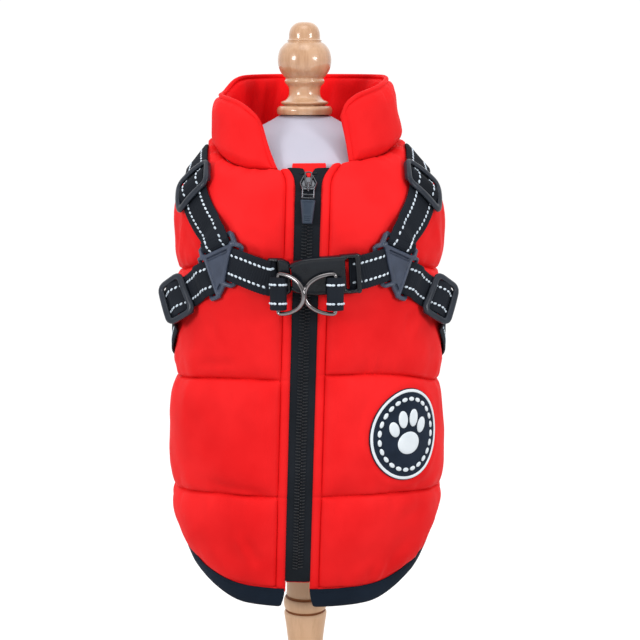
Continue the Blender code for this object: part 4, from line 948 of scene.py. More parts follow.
# The folded tape's section: up from the hem, distance out.
HEM_SECTION = [
    (10.0, 4.1), (8.0, 4.4), (4.5, 4.7), (1.8, 4.9), (0.55, 4.4), (0.0, 2.9), (0.55, 1.2), (1.8, 0.2),
    (4.5, -0.1), (10.0, 0.0), (10.0, 0.5), (4.5, 0.4), (2.0, 0.7), (1.1, 1.4), (0.6, 2.9), (1.1, 3.9),
    (2.0, 4.3), (4.5, 4.15), (8.0, 3.85), (10.0, 3.55),
]
# The row of the tape's section along its fold, and how much lower it hangs near the zip.
HEM_FOLD = 5
HEM_HANG = 2.6


def hem_band(word, start, end, at_zip):
    """A stretch of the hem's bias tape, folded over the panel's foot."""
    count = round(abs(end - start) * MM_PER_DEGREE / 1.1)
    f = np.arange(count + 1) / count
    rings = []
    for up_from_hem, out in HEM_SECTION:
        low = 1.0 - up_from_hem / HEM_BINDING
        first, last = start, end
        if at_zip:
            edge = float(zip_degrees(at_zip * (ZIP_HALF + 1.4 * low ** 2), 8.0))
            first, last = (edge, end) if at_zip > 0 else (start, edge)
        degrees = first + (last - first) * f
        signed = np.where(degrees <= 180.0, degrees, degrees - 360.0)
        front = np.clip((62.0 - np.abs(signed)) / 32.0, 0.0, 1.0)
        front = front * front * (3.0 - 2.0 * front)
        lift = (1.2 * (1.0 - front) - HEM_HANG * front) * low
        pinch = 1.0
        if at_zip:
            from_end = (1.0 - f if at_zip < 0 else f) * abs(last - first) * MM_PER_DEGREE
            lift = lift + 3.4 * (1.0 - swell(from_end, 3.6)) * low
            pinch = 1.0 - 0.5 * (1.0 - swell(from_end, 1.5))
        level = 2.1 + (out - 2.1) * pinch - 1.3 * (1.0 - front) * (out > 2.0) * low
        level = level + 0.16 * soft_noise(degrees / 5.0, np.full_like(degrees, out), 23)
        rings.append(on_skin(degrees, read_table(HEM_FOOT, signed) + up_from_hem + lift, level))
    shape = swept(rings)
    piece = stand_in("tape", "hem_binding_" + word, shape, BINDING, "navy_binding", crease=75.0)
    fold = (rings[HEM_FOLD][1:] + rings[HEM_FOLD][:-1]) / 2
    long = round(walked_along(fold)[-1] * MM, 3)


COLLAR_RUN = 290.0
COLLAR_LIP = 2.7
# Where pleats and the lining's two creases lie along the collar, from its right front edge.
COLLAR_PLEATS = (35.0, 38.6, 42.0, 47.5)
CREASES = (232.0, 52.0)


def collar_middle(f, v):
    """The collar's middle at fractions f along and v up: points, way across, height, half its foot."""
    base, top = (first + (last - first) * f for first, last in (COLLAR_BASE_EDGES, COLLAR_TOP_EDGES))
    signed = np.where(base <= 180.0, base, base - 360.0)
    seam = read_table(NECK_SEAM, signed) + COLLAR_GAP
    foot_in = on_skin(base, seam, 0.7)
    foot_out = on_skin(base, seam, COLLAR_EDGE + 1.2)
    foot = (foot_in + foot_out) / 2
    turn = np.radians(top)
    level = read_table(RIM_HEIGHT, top)
    rim = np.stack([RIM_HALF[0] * np.sin(turn) + RIM_LEAN, -RIM_HALF[1] * np.cos(turn), level], axis=-1)
    away = np.stack([np.sin(turn), -np.cos(turn), np.zeros_like(turn)], axis=-1)
    rim = rim + away * read_table(RIM_SPREAD, top)[..., None]
    middle = foot + (rim - foot) * v[..., None]
    middle = middle + away * (read_table(COLLAR_BOW, top) * np.sin(math.pi * v ** 0.75))[..., None]
    middle = middle + away * (read_table(COLLAR_SKIRT, top) * v / 0.13 * np.exp(1.0 - v / 0.13))[..., None]
    tilt = unit(foot_out - foot_in)
    across = unit(tilt + (away - tilt) * np.minimum(1.0, v * 4.0)[..., None])
    height = np.linalg.norm(rim - foot, axis=-1)
    return middle, across, height, 0.5 * np.linalg.norm(foot_out - foot_in, axis=-1)


def collar():
    """The padded stand-up collar, open at the zip, its right edge first and then round the back."""
    f = eased(190, 0.07)[None, :]
    v = np.concatenate([[0.0, 0.02, 0.045], eased(40, 0.1)[2:]])[:, None]
    middle, across, height, foot = collar_middle(f, v)
    from_top, from_foot = height * (1.0 - v), height * v
    from_front = COLLAR_RUN * np.minimum(f, 1.0 - f) + 0 * v
    edge = np.minimum(from_top, from_front)
    x = COLLAR_RUN * f + 0 * v
    full = swell(from_foot + 1.0, 9.0)
    full = full * swell(from_top - COLLAR_LIP, 9.0) * swell(from_front - COLLAR_LIP, 9.0)
    thick = COLLAR_EDGE * swell(edge + 0.05, 1.3) + (COLLAR_THICK - COLLAR_EDGE) * full
    ripple = 0.85 * soft_noise(x / 22.0, from_foot / 14.0, 31)
    ripple = ripple + 0.45 * soft_noise(x / 9.0, from_foot / 12.0, 32)
    pucker = 0.9 * soft_noise(x / 4.6, from_foot / 24.0, 33)
    pucker = pucker * np.exp(-from_foot / 7.0) * swell(from_foot, 2.0)
    pucker += 0.5 * soft_noise(x / 5.2, from_top / 20.0, 35) * bump(edge - 6.0, 3.0)
    pleats = sum(bump(x - where, 0.9) for where in COLLAR_PLEATS) * np.exp(-((from_top - 3.0) / 8.0) ** 2)
    stitched = 0.7 * bump(edge - COLLAR_LIP, 0.6)
    outside = 0.5 * thick + full * ripple + pucker - stitched - 0.6 * pleats * full
    crease = 1.1 * bump(x - CREASES[0] - 0.35 * from_top, 2.2)
    crease = crease + 0.9 * bump(x - CREASES[1], 2.4) * swell(from_foot, 8.0)
    gather = 3.0 * soft_noise(x / 7.0, from_foot / 60.0, 34) * full
    inside = 0.5 * thick + gather * 0.7 - crease * full - stitched
    outside, inside = (np.where(v > 0, face, foot)[..., None] for face in (outside, inside))
    shape = wall(middle + across * outside, middle - across * inside)
    piece = stand_in("cloth", "collar", shape, RED, "red_cloth", crease=75.0)
    # The collar's inner faces take the darker red, which is painted shade inside the collar.
    piece.data.materials.append(LINING_PAINTED_SHADE)
    lined = (v.shape[0] - 1) * (f.shape[1] - 1)
    for face in piece.data.polygons[lined:2 * lined]:
        face.material_index = 1


# ---------- the zip ----------


def zip_tapes():
    """The two woven tapes, which part and splay outward at the top."""
    count = 520
    top = TAPE_TOP_UP + 2.2
    up = ZIP_FOOT_UP + (top - ZIP_FOOT_UP) * np.arange(count + 1) / count
    shares = np.linspace(0.0, 1.0, 17)
    near = parting(up) - 0.06
    far = ZIP_HALF + 1.6 + opening(up)
    at_foot = np.clip(1.0 - (up - ZIP_FOOT_UP) / 8.0, 0.0, 1.0)
    splay = 0.8 * np.clip((up - 260.0) / 8.0, 0.0, 1.0) ** 2
    for word, side in SIDES:
        corner = 2.8 if side < 0 else 1.0
        rows = []
        for front, order in ((True, shares), (False, shares[::-1])):
            for share in order:
                off = near + (far - near) * share
                herring = 0.10 * np.sin(TAU * (up / 1.5 + share * 2.2 * (1 if share < 0.5 else -1)))
                out = (2.25 + herring if front else 1.75) + splay * np.sin(math.pi * share)
                lift = corner * (1.0 - swell(8.8 * (1.0 - share), 3.4)) * at_foot
                rows.append(on_skin(zip_degrees(side * off, up), up + lift, out - 0.5 * (share > 0.9)))
        piece = stand_in("twill", "zip_tape_" + word, swept(rows), TAPE, "zip_tape", crease=80.0)


TOOTH_PITCH = 1.9
TEETH_FROM = 28.0
TOOTH_SLANT = 9.0


def zip_frames(off, up, out):
    """Places beside the zip's centre line, and the directions across, along and away from it there."""
    degrees = zip_degrees(off, up)
    lift = outward(degrees, up)
    along = unit(on_skin(degrees, up + 0.5, 0.0 * up) - on_skin(degrees, up - 0.5, 0.0 * up))
    return on_skin(degrees, up, np.full(len(up), out)), unit(np.cross(along, lift)), along, lift


def zip_teeth():
    """Moulded teeth, a slanted rib and a rounded head each, in two rows that mesh, and ribs above."""
    rib = pill(2.5, 0.85, 1.0, 8, 2)
    head = pill(1.25, 1.2, 1.5, 8, 2)
    parts = []
    count = int((SLIDER_UP - 6.0 - TEETH_FROM) / TOOTH_PITCH)
    for _, side in SIDES:
        up = TEETH_FROM + TOOTH_PITCH * (np.arange(count) + 0.25 * side)
        slant = math.radians(TOOTH_SLANT) * side
        for template, off, out in ((rib, 1.9, 2.6), (head, 0.55, 2.7)):
            origin, right, along, lift = zip_frames(side * off, up, out)
            axis = right * math.cos(slant) + along * math.sin(slant)
            parts.append(tiled(template, origin, np.stack([axis, np.cross(lift, axis), lift], axis=1)))
    for _, side in SIDES:
        up = np.arange(SLIDER_UP + 4.0, TAPE_TOP_UP - 1.0, TOOTH_PITCH)
        origin, *axes = zip_frames(side * (1.7 + parting(up)), up, 2.75)
        parts.append(tiled(rib, origin, np.stack(axes, axis=1)))
    add_mesh("moulded_zip_teeth", merged(parts), TOOTH, "zip_tape", replaces=("zip_chain",))


def zip_guard():
    """The flap behind the zip, wider at its head."""
    shaft = np.linspace(17.6, 264.5, 170)
    up = np.concatenate([shaft, np.linspace(265.0, 272.2, 12), [272.5, 272.6]])
    half = np.interp(up, *zip((17.6, 6.8), *GUARD_HEAD))
    rows = []
    for level, shares in ((1.3, np.linspace(-1, 1, 13)), (0.3, np.linspace(1, -1, 13))):
        for share in shares:
            sag = 0.15 * soft_noise(up / 9.0, np.full_like(up, share * 2), 41)
            rows.append(on_skin(zip_degrees(share * half, up), up, level + sag))
    piece = stand_in("cloth", "zip_guard", swept(rows), RED, "red_cloth")


# ---------- hard pieces, moulded from rounded bars and plates ----------


def rod(a, b, wide, tall):
    """A round-ended bar between two points (u, v, out) of a flat layout."""
    a, b = np.array(a, float), np.array(b, float)
    run = b - a
    run[2] = 0.0
    run = unit(run)
    cross = np.array([-run[1], run[0], 0.0])
    turn = np.arange(16) * TAU / 16
    rings = []
    for centre, slopes in ((a, np.linspace(-88, 0, 6)), (b, np.linspace(0, 88, 6))):
        for slope in np.radians(slopes):
            r = math.cos(slope)
            ring = centre + run * math.sin(slope) * wide / 2
            ring = ring + (r * wide / 2 * np.cos(turn))[:, None] * cross
            rings.append(ring + (r * tall / 2 * np.sin(turn))[:, None] * np.array([0.0, 0.0, 1.0]))
    return tube(rings)


def slab(outline, low, high):
    """A flat prism of an outline (u, v)."""
    return tube([[(u, v, low) for u, v in outline], [(u, v, high) for u, v in outline]])


def box(u0, u1, v0, v1, low, high):
    """A block between two values of u, v and out."""
    return slab([(u0, v0), (u1, v0), (u1, v1), (u0, v1)], low, high)


def cross_bar(u, half, out, wide, tall):
    """A bar that runs across the line v = 0 at u, from -half to half."""
    return rod((u, -half, out), (u, half, out), wide, tall)


def mirrored_rods(rows):
    """Bars (start, end, width, height), and the same again across the line v = 0."""
    return [
        rod((a[0], way * a[1], a[2]), (b[0], way * b[1], b[2]), wide, tall)
        for way in (1, -1) for a, b, wide, tall in rows
    ]


def fused(parts, voxel, passes):
    """Overlapping parts run together into one skin, and smoothed as a moulding is."""
    piece = new_object("parts", *merged(parts), turned=False)
    remesh = piece.modifiers.new("fuse", "REMESH")
    remesh.mode = "VOXEL"
    remesh.voxel_size = voxel
    made = applied(piece)
    bpy.data.objects.remove(piece)
    points = np.empty(len(made.vertices) * 3)
    made.vertices.foreach_get("co", points)
    points = points.reshape(-1, 3)
    edges = np.empty(len(made.edges) * 2, int)
    made.edges.foreach_get("vertices", edges)
    edges = edges.reshape(-1, 2)
    faces = [list(face.vertices) for face in made.polygons]
    bpy.data.meshes.remove(made)
    start, end = np.concatenate([edges, edges[:, ::-1]]).T
    degree = np.bincount(start, minlength=len(points)).astype(float)[:, None]
    for step in range(2 * passes):
        total = np.zeros_like(points)
        for axis in range(3):
            total[:, axis] = np.bincount(start, weights=points[end, axis], minlength=len(points))
        points = points + (0.6 if step % 2 == 0 else -0.42) * (total / degree - points)
    return points, faces


def bent(shape, centre, turn, side):
    """A flat layout laid on the coat: outward, up, out become angle, length up, distance out."""
    points, faces = shape
    per_mm = degrees_per_mm(*centre)
    cos, sin = math.cos(math.radians(turn)), math.sin(math.radians(turn))
    u, v, out = points.T
    degrees = centre[0] + (u * cos - v * sin) * per_mm
    return on_skin(side * degrees, centre[1] + u * sin + v * cos, out), faces


def rounded(half_u, half_v, radius, steps=3):
    """The corners of a rounded rectangle, as points (u, v) round it."""
    points = []
    for cu, cv, start in ((1, 1, 0.0), (-1, 1, 90.0), (-1, -1, 180.0), (1, -1, 270.0)):
        for k in range(steps + 1):
            turn = math.radians(start + 90.0 * k / steps)
            u = cu * (half_u - radius) + radius * math.cos(turn)
            points.append((u, cv * (half_v - radius) + radius * math.sin(turn)))
    return points


def frame_of(points, out, wide, tall):
    """Bars that run round a closed line of points (u, v)."""
    return [rod((*a, out), (*b, out), wide, tall) for a, b in zip(points, points[1:] + points[:1])]


# How far out a slide's rim, sides and middle bar lie, and the width of its rim.
GLIDE_OUT = (12.3, 11.4, 10.55)
GLIDE_RIM = 3.7
GLIDE_CORNER = 3.4


def glide(word, side, kind, spot, route, stand):
    """A slotted slide: two outer bars over the strap and a middle bar under it. Its far end stands off."""
    long, wide = GLIDE_LONG / 2, GLIDE_WIDE / 2
    rail = wide - 1.7
    rim, sides, middle = GLIDE_OUT
    parts = frame_of(rounded(long - 1.7, rail, GLIDE_CORNER), rim, GLIDE_RIM, 2.8)
    for end in (-1, 1):
        parts.append(rod((-long + 4.2, end * rail, sides), (long - 4.2, end * rail, sides), 3.4, 4.1))
    parts.append(cross_bar(0.0, rail, middle, BAR, 1.9))
    _, heading = nearest_on(route, spot)
    points, faces = fused(parts, 0.38, 3)
    points[:, 2] += stand * (points[:, 0] + long) / GLIDE_LONG
    shape = bent((points, faces), spot, heading, side)
    stand_in("moulded", f"{kind}_glide_{word}", shape, DARK_SLATE, "slate_plastic")


def yoke(word, side):
    """The three-way yoke: a flat middle inside a groove, raised borders, and a slot and bar on each arm."""
    plate = np.array(YOKE_PLATE)
    centre = plate.mean(axis=0)
    parts = [slab(YOKE_PLATE, HARD_FOOT, 11.5), slab(centre + 0.66 * (plate - centre), HARD_FOOT, 12.9)]
    parts.append(rod((*plate[2], 11.2), (*plate[3], 11.2), 2.4, 3.4))
    half = WEB_WIDE / 2 + 0.9 + BAR / 2
    for middle, away, edge in yoke_arms():
        near = [middle + edge * end * half - away * 0.8 for end in (-1, 1)]
        knee = [middle + edge * end * (half + 0.2) + away * 0.9 for end in (-1, 1)]
        far = [middle + edge * end * half + away * (SLOT + 0.3) for end in (-1, 1)]
        tip = [middle + edge * end * (half - 1.0) + away * (SLOT + BAR / 2) for end in (-1, 1)]
        parts.append(rod((*near[0], 11.6), (*near[1], 11.6), 2.7, 3.6))
        for a, b, c, d in zip(near, knee, far, tip):
            parts.append(rod((*a, 11.5), (*b, 11.5), 2.6, 3.5))
            parts.append(rod((*b, 11.5), (*c, 11.2), 2.8, 3.5))
            parts.append(rod((*c, 11.1), (*d, 10.6), 2.7, 2.6))
        parts.append(rod((*tip[0], 10.5), (*tip[1], 10.5), BAR, 2.0))
    shape = bent(fused(parts, 0.36, 3), YOKE, 0.0, side)
    stand_in("moulded", "yoke_" + word, shape, SLATE, "slate_plastic")


def mirrored(line):
    """A closed outline from its upper half, left to right."""
    return line + [(u, -v) for u, v in reversed(line)]


# The buckle's two halves where they meet: the upper half of each outline.
MALE_LINE = [(-12.4, 10.6), (-10.4, 10.3), (-8.6, 9.2), (-7.2, 7.7)]
FEMALE_LINE = [(-6.6, 7.9), (-4.6, 9.2), (-0.5, 10.5), (5.0, 11.2), (22.6, 11.3)]


def buckle():
    """The fastened side-release buckle. Each half's outline is edged with a rounded bar."""
    left, right = BUCKLE_X
    low, high = BUCKLE_OUT
    end = left + 1.6
    male = [
        slab(mirrored(MALE_LINE), low + 0.2, RING_LEFT[2] - 0.6),
        cross_bar(end, 9.6, 10.5, BAR, 2.0),
    ]
    for a, b in zip(MALE_LINE, MALE_LINE[1:]):
        male += mirrored_rods([((a[0], a[1] - 0.9, 12.4), (b[0] - 0.4, b[1] - 0.9, 12.4), 2.6, 5.9)])
    male += mirrored_rods([
        ((end, 10.2, 10.9), (-11.6, 10.0, 12.0), 2.4, 3.4), ((-8.6, 6.8, 12.4), (-8.6, 0.0, 12.4), 2.4, 5.7),
    ])
    male.append(box(left + 1.8, -12.0, -9.4, 9.4, low + 0.1, low + 0.7))
    middle, tall = (low + high) / 2, high - low
    last = FEMALE_LINE[-1][0]
    bar = right - 1.5
    inner = [(u + 0.7, v - 1.3) for u, v in FEMALE_LINE[:-1]] + [(last, 10.0)]
    female = [slab(mirrored(inner), low + 0.1, high - 0.35)]
    for a, b in zip(FEMALE_LINE, FEMALE_LINE[1:]):
        female += mirrored_rods([(*((u + 0.9, v - 1.5, middle) for u, v in (a, b)), 3.2, tall)])
    female.append(cross_bar(-4.9, -6.4, middle, 2.4, tall - 0.6))
    female.append(cross_bar(last, -9.6, middle, 2.0, tall - 0.9))
    female += mirrored_rods([((last - 1.0, 10.3, 13.2), (bar, 10.3, 13.0), 3.0, 6.2)])
    female.append(cross_bar(bar, 10.2, 10.5, BAR, 2.0))
    female.append(cross_bar(bar, 10.2, 14.9, 3.2, 2.4))
    centre = (float(front_degrees(0.0, BUCKLE_UP)), BUCKLE_UP)
    for name, parts in (("buckle_male", male), ("buckle_female", female)):
        shape = bent(fused(parts, 0.36, 3), centre, BUCKLE_TURN, 1)
        stand_in("moulded", name, shape, BLACK, "black_plastic")


# ---------- webbing ----------

RIB_PITCH = 1.6
DASH_PITCH = 2.9
DASH_ROWS = (-5.4, 5.4)


def slot_lifts():
    """Distances out where a strap comes up through a slot and over the bar beyond it."""
    return [
        (0.0, WEB_OUT + 0.4), (SLOT - 1.2, WEB_OVER_BAR), (SLOT + BAR + 2.0, WEB_OVER_BAR),
        (SLOT + BAR + 7.0, WEB_OUT),
    ]


def glide_lifts(centre, stand):
    """Distances out where a strap runs under, over and under a glide's bars, and back down to the coat."""
    half = GLIDE_LONG / 2
    reach = half - BAR - 0.6
    over = 1.9
    rows = [(-half, WEB_OUT), (-reach, WEB_OUT), (-over, WEB_OVER_BAR)]
    rows += [(over, WEB_OVER_BAR), (reach, WEB_OUT), (half - 1.2, WEB_OUT)]
    lifts = [(centre + run, out + stand * (run + half) / GLIDE_LONG) for run, out in rows]
    return lifts + [(centre + half + GIRTH_RETURN, WEB_OUT)]


def stations(route, lifts, step):
    """Close stations (degrees, up, out) along a route, and how far along each lies."""
    fine, walked = walk(route)
    count = round(walked[-1] / step)
    at = walked[-1] * np.arange(count + 1) / count
    places, levels = np.array(sorted(lifts)).T
    out = sum(np.interp(at + shift, places, levels) for shift in (-1.4, -0.7, 0.0, 0.7, 1.4)) / 5
    return np.stack([np.interp(at, walked, fine[:, 0]), np.interp(at, walked, fine[:, 1]), out], axis=1)


def web_frames(rows, side):
    """For each station: a function that gives the point at a shift across and a height above it."""
    run = np.gradient(rows[:, :2], axis=0)
    per_mm = degrees_per_mm(rows[:, 0], rows[:, 1])
    run = unit(np.stack([run[:, 0] / per_mm, run[:, 1]], axis=1))

    def point(shift, level, pick=slice(None)):
        degrees = rows[pick, 0] - run[pick, 1] * shift * per_mm[pick]
        return on_skin(side * degrees, rows[pick, 1] + run[pick, 0] * shift, rows[pick, 2] + level)

    return point


# A webbing's section from edge to edge: shift across, share of its thickness at each face.
WEB_EDGE = [(-10.0, 0.32), (-9.75, 0.14), (-9.2, 0.03), (-8.0, 0.0), (-4.0, 0.0), (0.0, 0.0)]


def web_piece(name, rows, side):
    """A grosgrain strap along its stations, its ribs square to its run, with two rows of dashes."""
    point = web_frames(rows, side)
    walked = walked_along(point(0.0, 0.0))
    rib = 0.34 * np.abs(np.sin(math.pi * walked / RIB_PITCH)) - 0.12
    scallop = 0.16 * np.cos(TAU * walked / RIB_PITCH)
    section = WEB_EDGE + [(-shift, share) for shift, share in reversed(WEB_EDGE[:-1])]
    rings = []
    for face, order in ((1, section), (0, section[::-1])):
        for shift, share in order:
            edge = abs(shift) > 9.5
            level = (1 - share) * WEB_THICK if face else share * WEB_THICK
            level = level + (rib if face else -rib * 0.5) * (0.0 if edge else 1.0)
            rings.append(point(shift + (np.sign(shift) * scallop if edge else 0.0), level))
    piece = stand_in("web", name, swept(rings), WEBBING, "webbing", crease=80.0)
    marks = dashes(name, point, walked)


def dashes(name, point, walked):
    """Reflective stitches on a strap's face."""
    places = np.arange(1.6, walked[-1] - 1.2, DASH_PITCH)
    pick = np.searchsorted(walked, places)
    template = pill(2.2, 1.4, 0.7, 8, 2)
    lean = 0.3
    parts = []
    for row in DASH_ROWS:
        origin = point(row, WEB_THICK + 0.24, pick)
        right = unit(point(row + 0.5, WEB_THICK, pick) - point(row - 0.5, WEB_THICK, pick))
        after = point(row, WEB_THICK, np.minimum(pick + 2, len(walked) - 1))
        before = point(row, WEB_THICK, np.maximum(pick - 2, 0))
        along = unit(after - before)
        lift = unit(np.cross(right, along))
        axis = unit(along + lean * right)
        parts.append(tiled(template, origin, np.stack([axis, np.cross(lift, axis), lift], axis=1)))
    return add_mesh("dashes_" + name, merged(parts), DASH, "webbing")


def long_straps():
    """The two straps that run from yoke to yoke, one round the neck and one round the girth."""
    for name, route, spot, stand in (
        ("neck_strap", NECK_WHOLE, NECK_GLIDE, 0.0), ("girth_strap", GIRTH_WHOLE, GIRTH_GLIDE, GIRTH_STAND),
    ):
        place, _ = nearest_on(route, spot)
        rows = stations(route, slot_lifts() + glide_lifts(place, stand), 0.45)
        mirror = rows[-2::-1] * np.array([-1.0, 1.0, 1.0]) + np.array([360.0, 0.0, 0.0])
        web_piece(name, np.concatenate([rows, mirror]), 1)


def buckle_straps():
    """The two short bands from the yokes to the buckle."""
    for word, side, end_x in BUCKLE_BANDS:
        route = buckle_route(side, end_x)
        _, walked = walk(route)
        rise = [(0.0, WEB_OUT + 0.9), (SLOT - 1.8, WEB_OVER_BAR)]
        lifts = rise + [(walked[-1] - d, out) for d, out in reversed(rise)]
        web_piece("buckle_strap_" + word, stations(route, lifts, 0.4), side)


# ---------- rings ----------


UPWARD = np.array([0.0, 0.0, 1.0])


def ring_place(bar_x, seat):
    """A D-ring's bar, and the directions across the loop and away from the coat."""
    half_deep = LOOP_SIZE[1] / 2
    over = seat + SEAM_GAP
    at = float(front_degrees(bar_x, BUCKLE_UP))
    for _ in range(4):
        now = float(on_skin(at, BUCKLE_UP, over + half_deep)[0])
        at += float(front_degrees(bar_x, BUCKLE_UP)) * (bar_x - now) / bar_x
    away = outward(at, BUCKLE_UP)
    away = unit(np.array([away[0], away[1], 0.0]))
    bar = on_skin(at, BUCKLE_UP, over) + away * half_deep
    bar[2] = RING_Z
    return bar, np.array([-away[1], away[0], 0.0]), away


def ring_path(whole_deep):
    """A D-ring's wire centre line: how far it stands off its bar, height."""
    top = RING_TALL / 2 - RING_WIRE
    deep = whole_deep - 2 * RING_WIRE
    straight = top - 1.2
    path = [(0.0, h) for h in np.linspace(-straight, straight, 12)]
    path += [(0.35, top - 0.35)]
    for turn in np.linspace(math.pi / 2, -math.pi / 2, 40):
        path.append((1.2 + (deep - 1.2) * math.cos(turn), top * math.sin(turn)))
    path.append((0.35, -top + 0.35))
    return np.array(path)


def wire(points, radius, sides=20):
    """A closed round wire along points."""
    along = unit(np.roll(points, -1, axis=0) - np.roll(points, 1, axis=0))
    flat = unit(np.cross(points[len(points) // 2] - points[0], points[len(points) // 4] - points[0]))
    side = unit(np.cross(along, flat))
    turn = np.arange(sides) * TAU / sides
    rings = points[:, None, :] + radius * (
        np.cos(turn)[None, :, None] * side[:, None, :] + np.sin(turn)[None, :, None] * flat
    )
    return tube(rings, round_it=True)


# The loop's section, half of it: share of its size outward, share of its half height.
LOOP_HALF = [
    (0.36, -1.0), (0.7, -1.0), (0.93, -0.995), (0.985, -0.97), (1.0, -0.93), (1.0, -0.6), (1.0, -0.3),
]
LOOP_HOLE = 1.55
# Where dashes lie round the loop, in degrees.
LOOP_DASHES = (-158.0, -128.0, -102.0, -78.0, -52.0, -22.0)


def squarish(angle):
    """A rounded square of half size 1 at angles round it."""
    return [np.copysign(np.abs(f) ** 0.72, f) for f in (np.cos(angle), np.sin(angle))]


def d_ring(word, bar, lift, inward):
    """A ring of wire, lifted from the coat by some degrees about its straight side."""
    turn = math.radians(lift)
    reach = np.array([inward * math.cos(turn), -math.sin(turn), 0.0])
    path = ring_path(RING_DEEP + (0.9 if inward > 0 else 1.7))
    points = bar + path[:, :1] * reach + path[:, 1:] * UPWARD
    name = "d_ring_" + word
    stand_in("wire", name, wire(points, RING_WIRE + 0.12), CHROME, "ring_metal", body=name)


def ring_loop(word, bar, across, away, half):
    """A loop of webbing round a ring's straight side, sewn to one half of the buckle."""
    wide, deep, tall = LOOP_SIZE
    angle = TAU * np.arange(168) / 168
    x, y = squarish(angle)
    rib = 0.07 * np.abs(np.sin(angle * 8.0))
    rings = []
    for r, h in LOOP_HALF + [(r, -h) for r, h in reversed(LOOP_HALF)]:
        if r < 0.5:
            u, v = LOOP_HOLE * np.cos(angle), LOOP_HOLE * np.sin(angle)
        else:
            grow = rib * (r > 0.95)
            u, v = (r * wide / 2 + grow) * x, (r * (deep / 2 - 0.1) + grow) * y
        ring = bar + across * u[:, None] + away * v[:, None]
        rings.append(ring + UPWARD * (h * tall / 2))
    name = "ring_loop_" + word
    loop = stand_in("web", name, tube(rings, round_it=True), WEBBING, "webbing", crease=70.0)
    parts = []
    for level in DASH_ROWS:
        x, y = squarish(np.radians(LOOP_DASHES))
        x, y = x * wide / 2, y * (deep / 2)
        origin = bar + across * x[:, None] - away * y[:, None] + UPWARD * level
        normal = unit(across * (x / (wide / 2) ** 2)[:, None] - away * (y / (deep / 2) ** 2)[:, None])
        upward = np.tile(UPWARD, (len(x), 1))
        axes = np.stack([np.cross(upward, normal), upward, normal], axis=1)
        parts.append(tiled(pill(2.1, 1.4, 0.7, 8, 2), origin + normal * 0.12, axes))
    marks = add_mesh("dashes_" + name, merged(parts), DASH, "webbing")


def rings():
    """Both D-rings, each in its loop."""
    for word, (bar_x, lift, seat), inward, half in (
        ("left", RING_LEFT, 1, "male"), ("right", RING_RIGHT, -1, "female"),
    ):
        bar, across, away = ring_place(bar_x, seat)
        d_ring(word, bar, lift, inward)
        ring_loop(word, bar, across, away, half)


# ---------- the patch ----------


def on_patch(x, y, raised):
    """A point of the patch: across and up from its middle, and how far it stands over its seat."""
    degrees = PATCH[0] + x * degrees_per_mm(*PATCH)
    up = PATCH[1] + y
    return on_skin(degrees, up, patch_seat(seam_distances(degrees, up)) + PATCH_GAP + raised)


def disc(radii, heights, sides, centre=(0.0, 0.0), stretch=(1.0, 1.0), turn=0.0):
    """A round or oval moulding on the patch, through rings of radius and height."""
    angle = np.arange(sides) * TAU / sides
    cos, sin = math.cos(math.radians(turn)), math.sin(math.radians(turn))
    rings = []
    for radius, height in zip(radii, heights):
        x, y = radius * stretch[0] * np.cos(angle), radius * stretch[1] * np.sin(angle)
        x, y = x * cos - y * sin + centre[0], x * sin + y * cos + centre[1]
        rings.append(on_patch(x, y, np.full(sides, float(height))))
    return tube(rings)


# The paw's pads on the patch: middle x, y, half width, half height, turn in degrees.
PAW = [
    (0.0, -5.2, 8.4, 6.6, 0.0), (-10.9, 4.2, 3.3, 4.8, 26.0), (-4.2, 9.4, 3.4, 5.2, 8.0),
    (4.2, 9.4, 3.4, 5.2, -8.0), (10.9, 4.2, 3.3, 4.8, -26.0),
]


# Mouldings of the patch: radii from foot to top, and heights over its seat. The last two scale up.
FIELD = (
    [0.4, 12.0, 20.0, 24.6, 27.3, 27.5, 27.5, 27.2, 26.0, 25.2, 24.9, 20.0, 16.0, 12.0, 8.0, 4.0, 0.4],
    [0, 0, 0, 0, 0, 0.2, 0.7, 0.85, 0.9, 0.9] + [0.85] * 7,
)
RIM = [25.2, 26.9, 27.05, 26.95, 26.6, 25.8, 25.4, 25.2], [0.1, 0.1, 0.6, 1.1, 1.25, 1.25, 1.1, 0.8]
PAD = [1.02, 1.0, 0.93, 0.6, 0.05], [0.7, 1.1, 1.3, 1.4, 1.45]
MARK = [1.02, 1.0, 0.85, 0.1], [0.7, 1.1, 1.3, 1.32]
MARK_COUNT = 24
MARK_RADIUS = 21.2


def patch():
    """A round moulded patch: white rim, dark field, a paw print and a ring of dashes."""
    stand_in("moulded", "patch", disc(*FIELD, 96), PATCH_FIELD, "patch_rubber")
    parts = [disc(*RIM, 128)]
    for x, y, wide, tall, turn in PAW:
        parts.append(disc(*PAD, 32, (x, y), (wide, tall), turn))
    for k in range(MARK_COUNT):
        turn = 360.0 * (k + 0.5) / MARK_COUNT
        spot = MARK_RADIUS * math.cos(math.radians(turn)), MARK_RADIUS * math.sin(math.radians(turn))
        parts.append(disc(*MARK, 16, spot, (1.25, 2.05), turn))
    add_mesh("moulded_patch_design", merged(parts), PATCH_WHITE, "patch_rubber")


# ---------- stitches ----------


STITCH_LONG = 2.1
STITCH_PITCH = 3.1
STITCH_THICK = 0.42


def stitch_row(degrees, up, out):
    """Stitches along a line on the coat, each lying along it."""
    points, normals = on_skin(degrees, up, np.full(len(up), out)), outward(degrees, up)
    walked = walked_along(points)

    def between(rows, at):
        return np.stack([np.interp(at, walked, rows[:, k]) for k in range(3)], axis=1)

    at = np.arange(STITCH_PITCH / 2, walked[-1], STITCH_PITCH)
    lift = unit(between(normals, at))
    along = unit(between(points, at + 0.6) - between(points, at - 0.6))
    right = unit(np.cross(lift, along))
    axes = np.stack([along, right, np.cross(along, right)], axis=1)
    return tiled(pill(STITCH_LONG, STITCH_THICK, STITCH_THICK, 6, 1), between(points, at), axes)


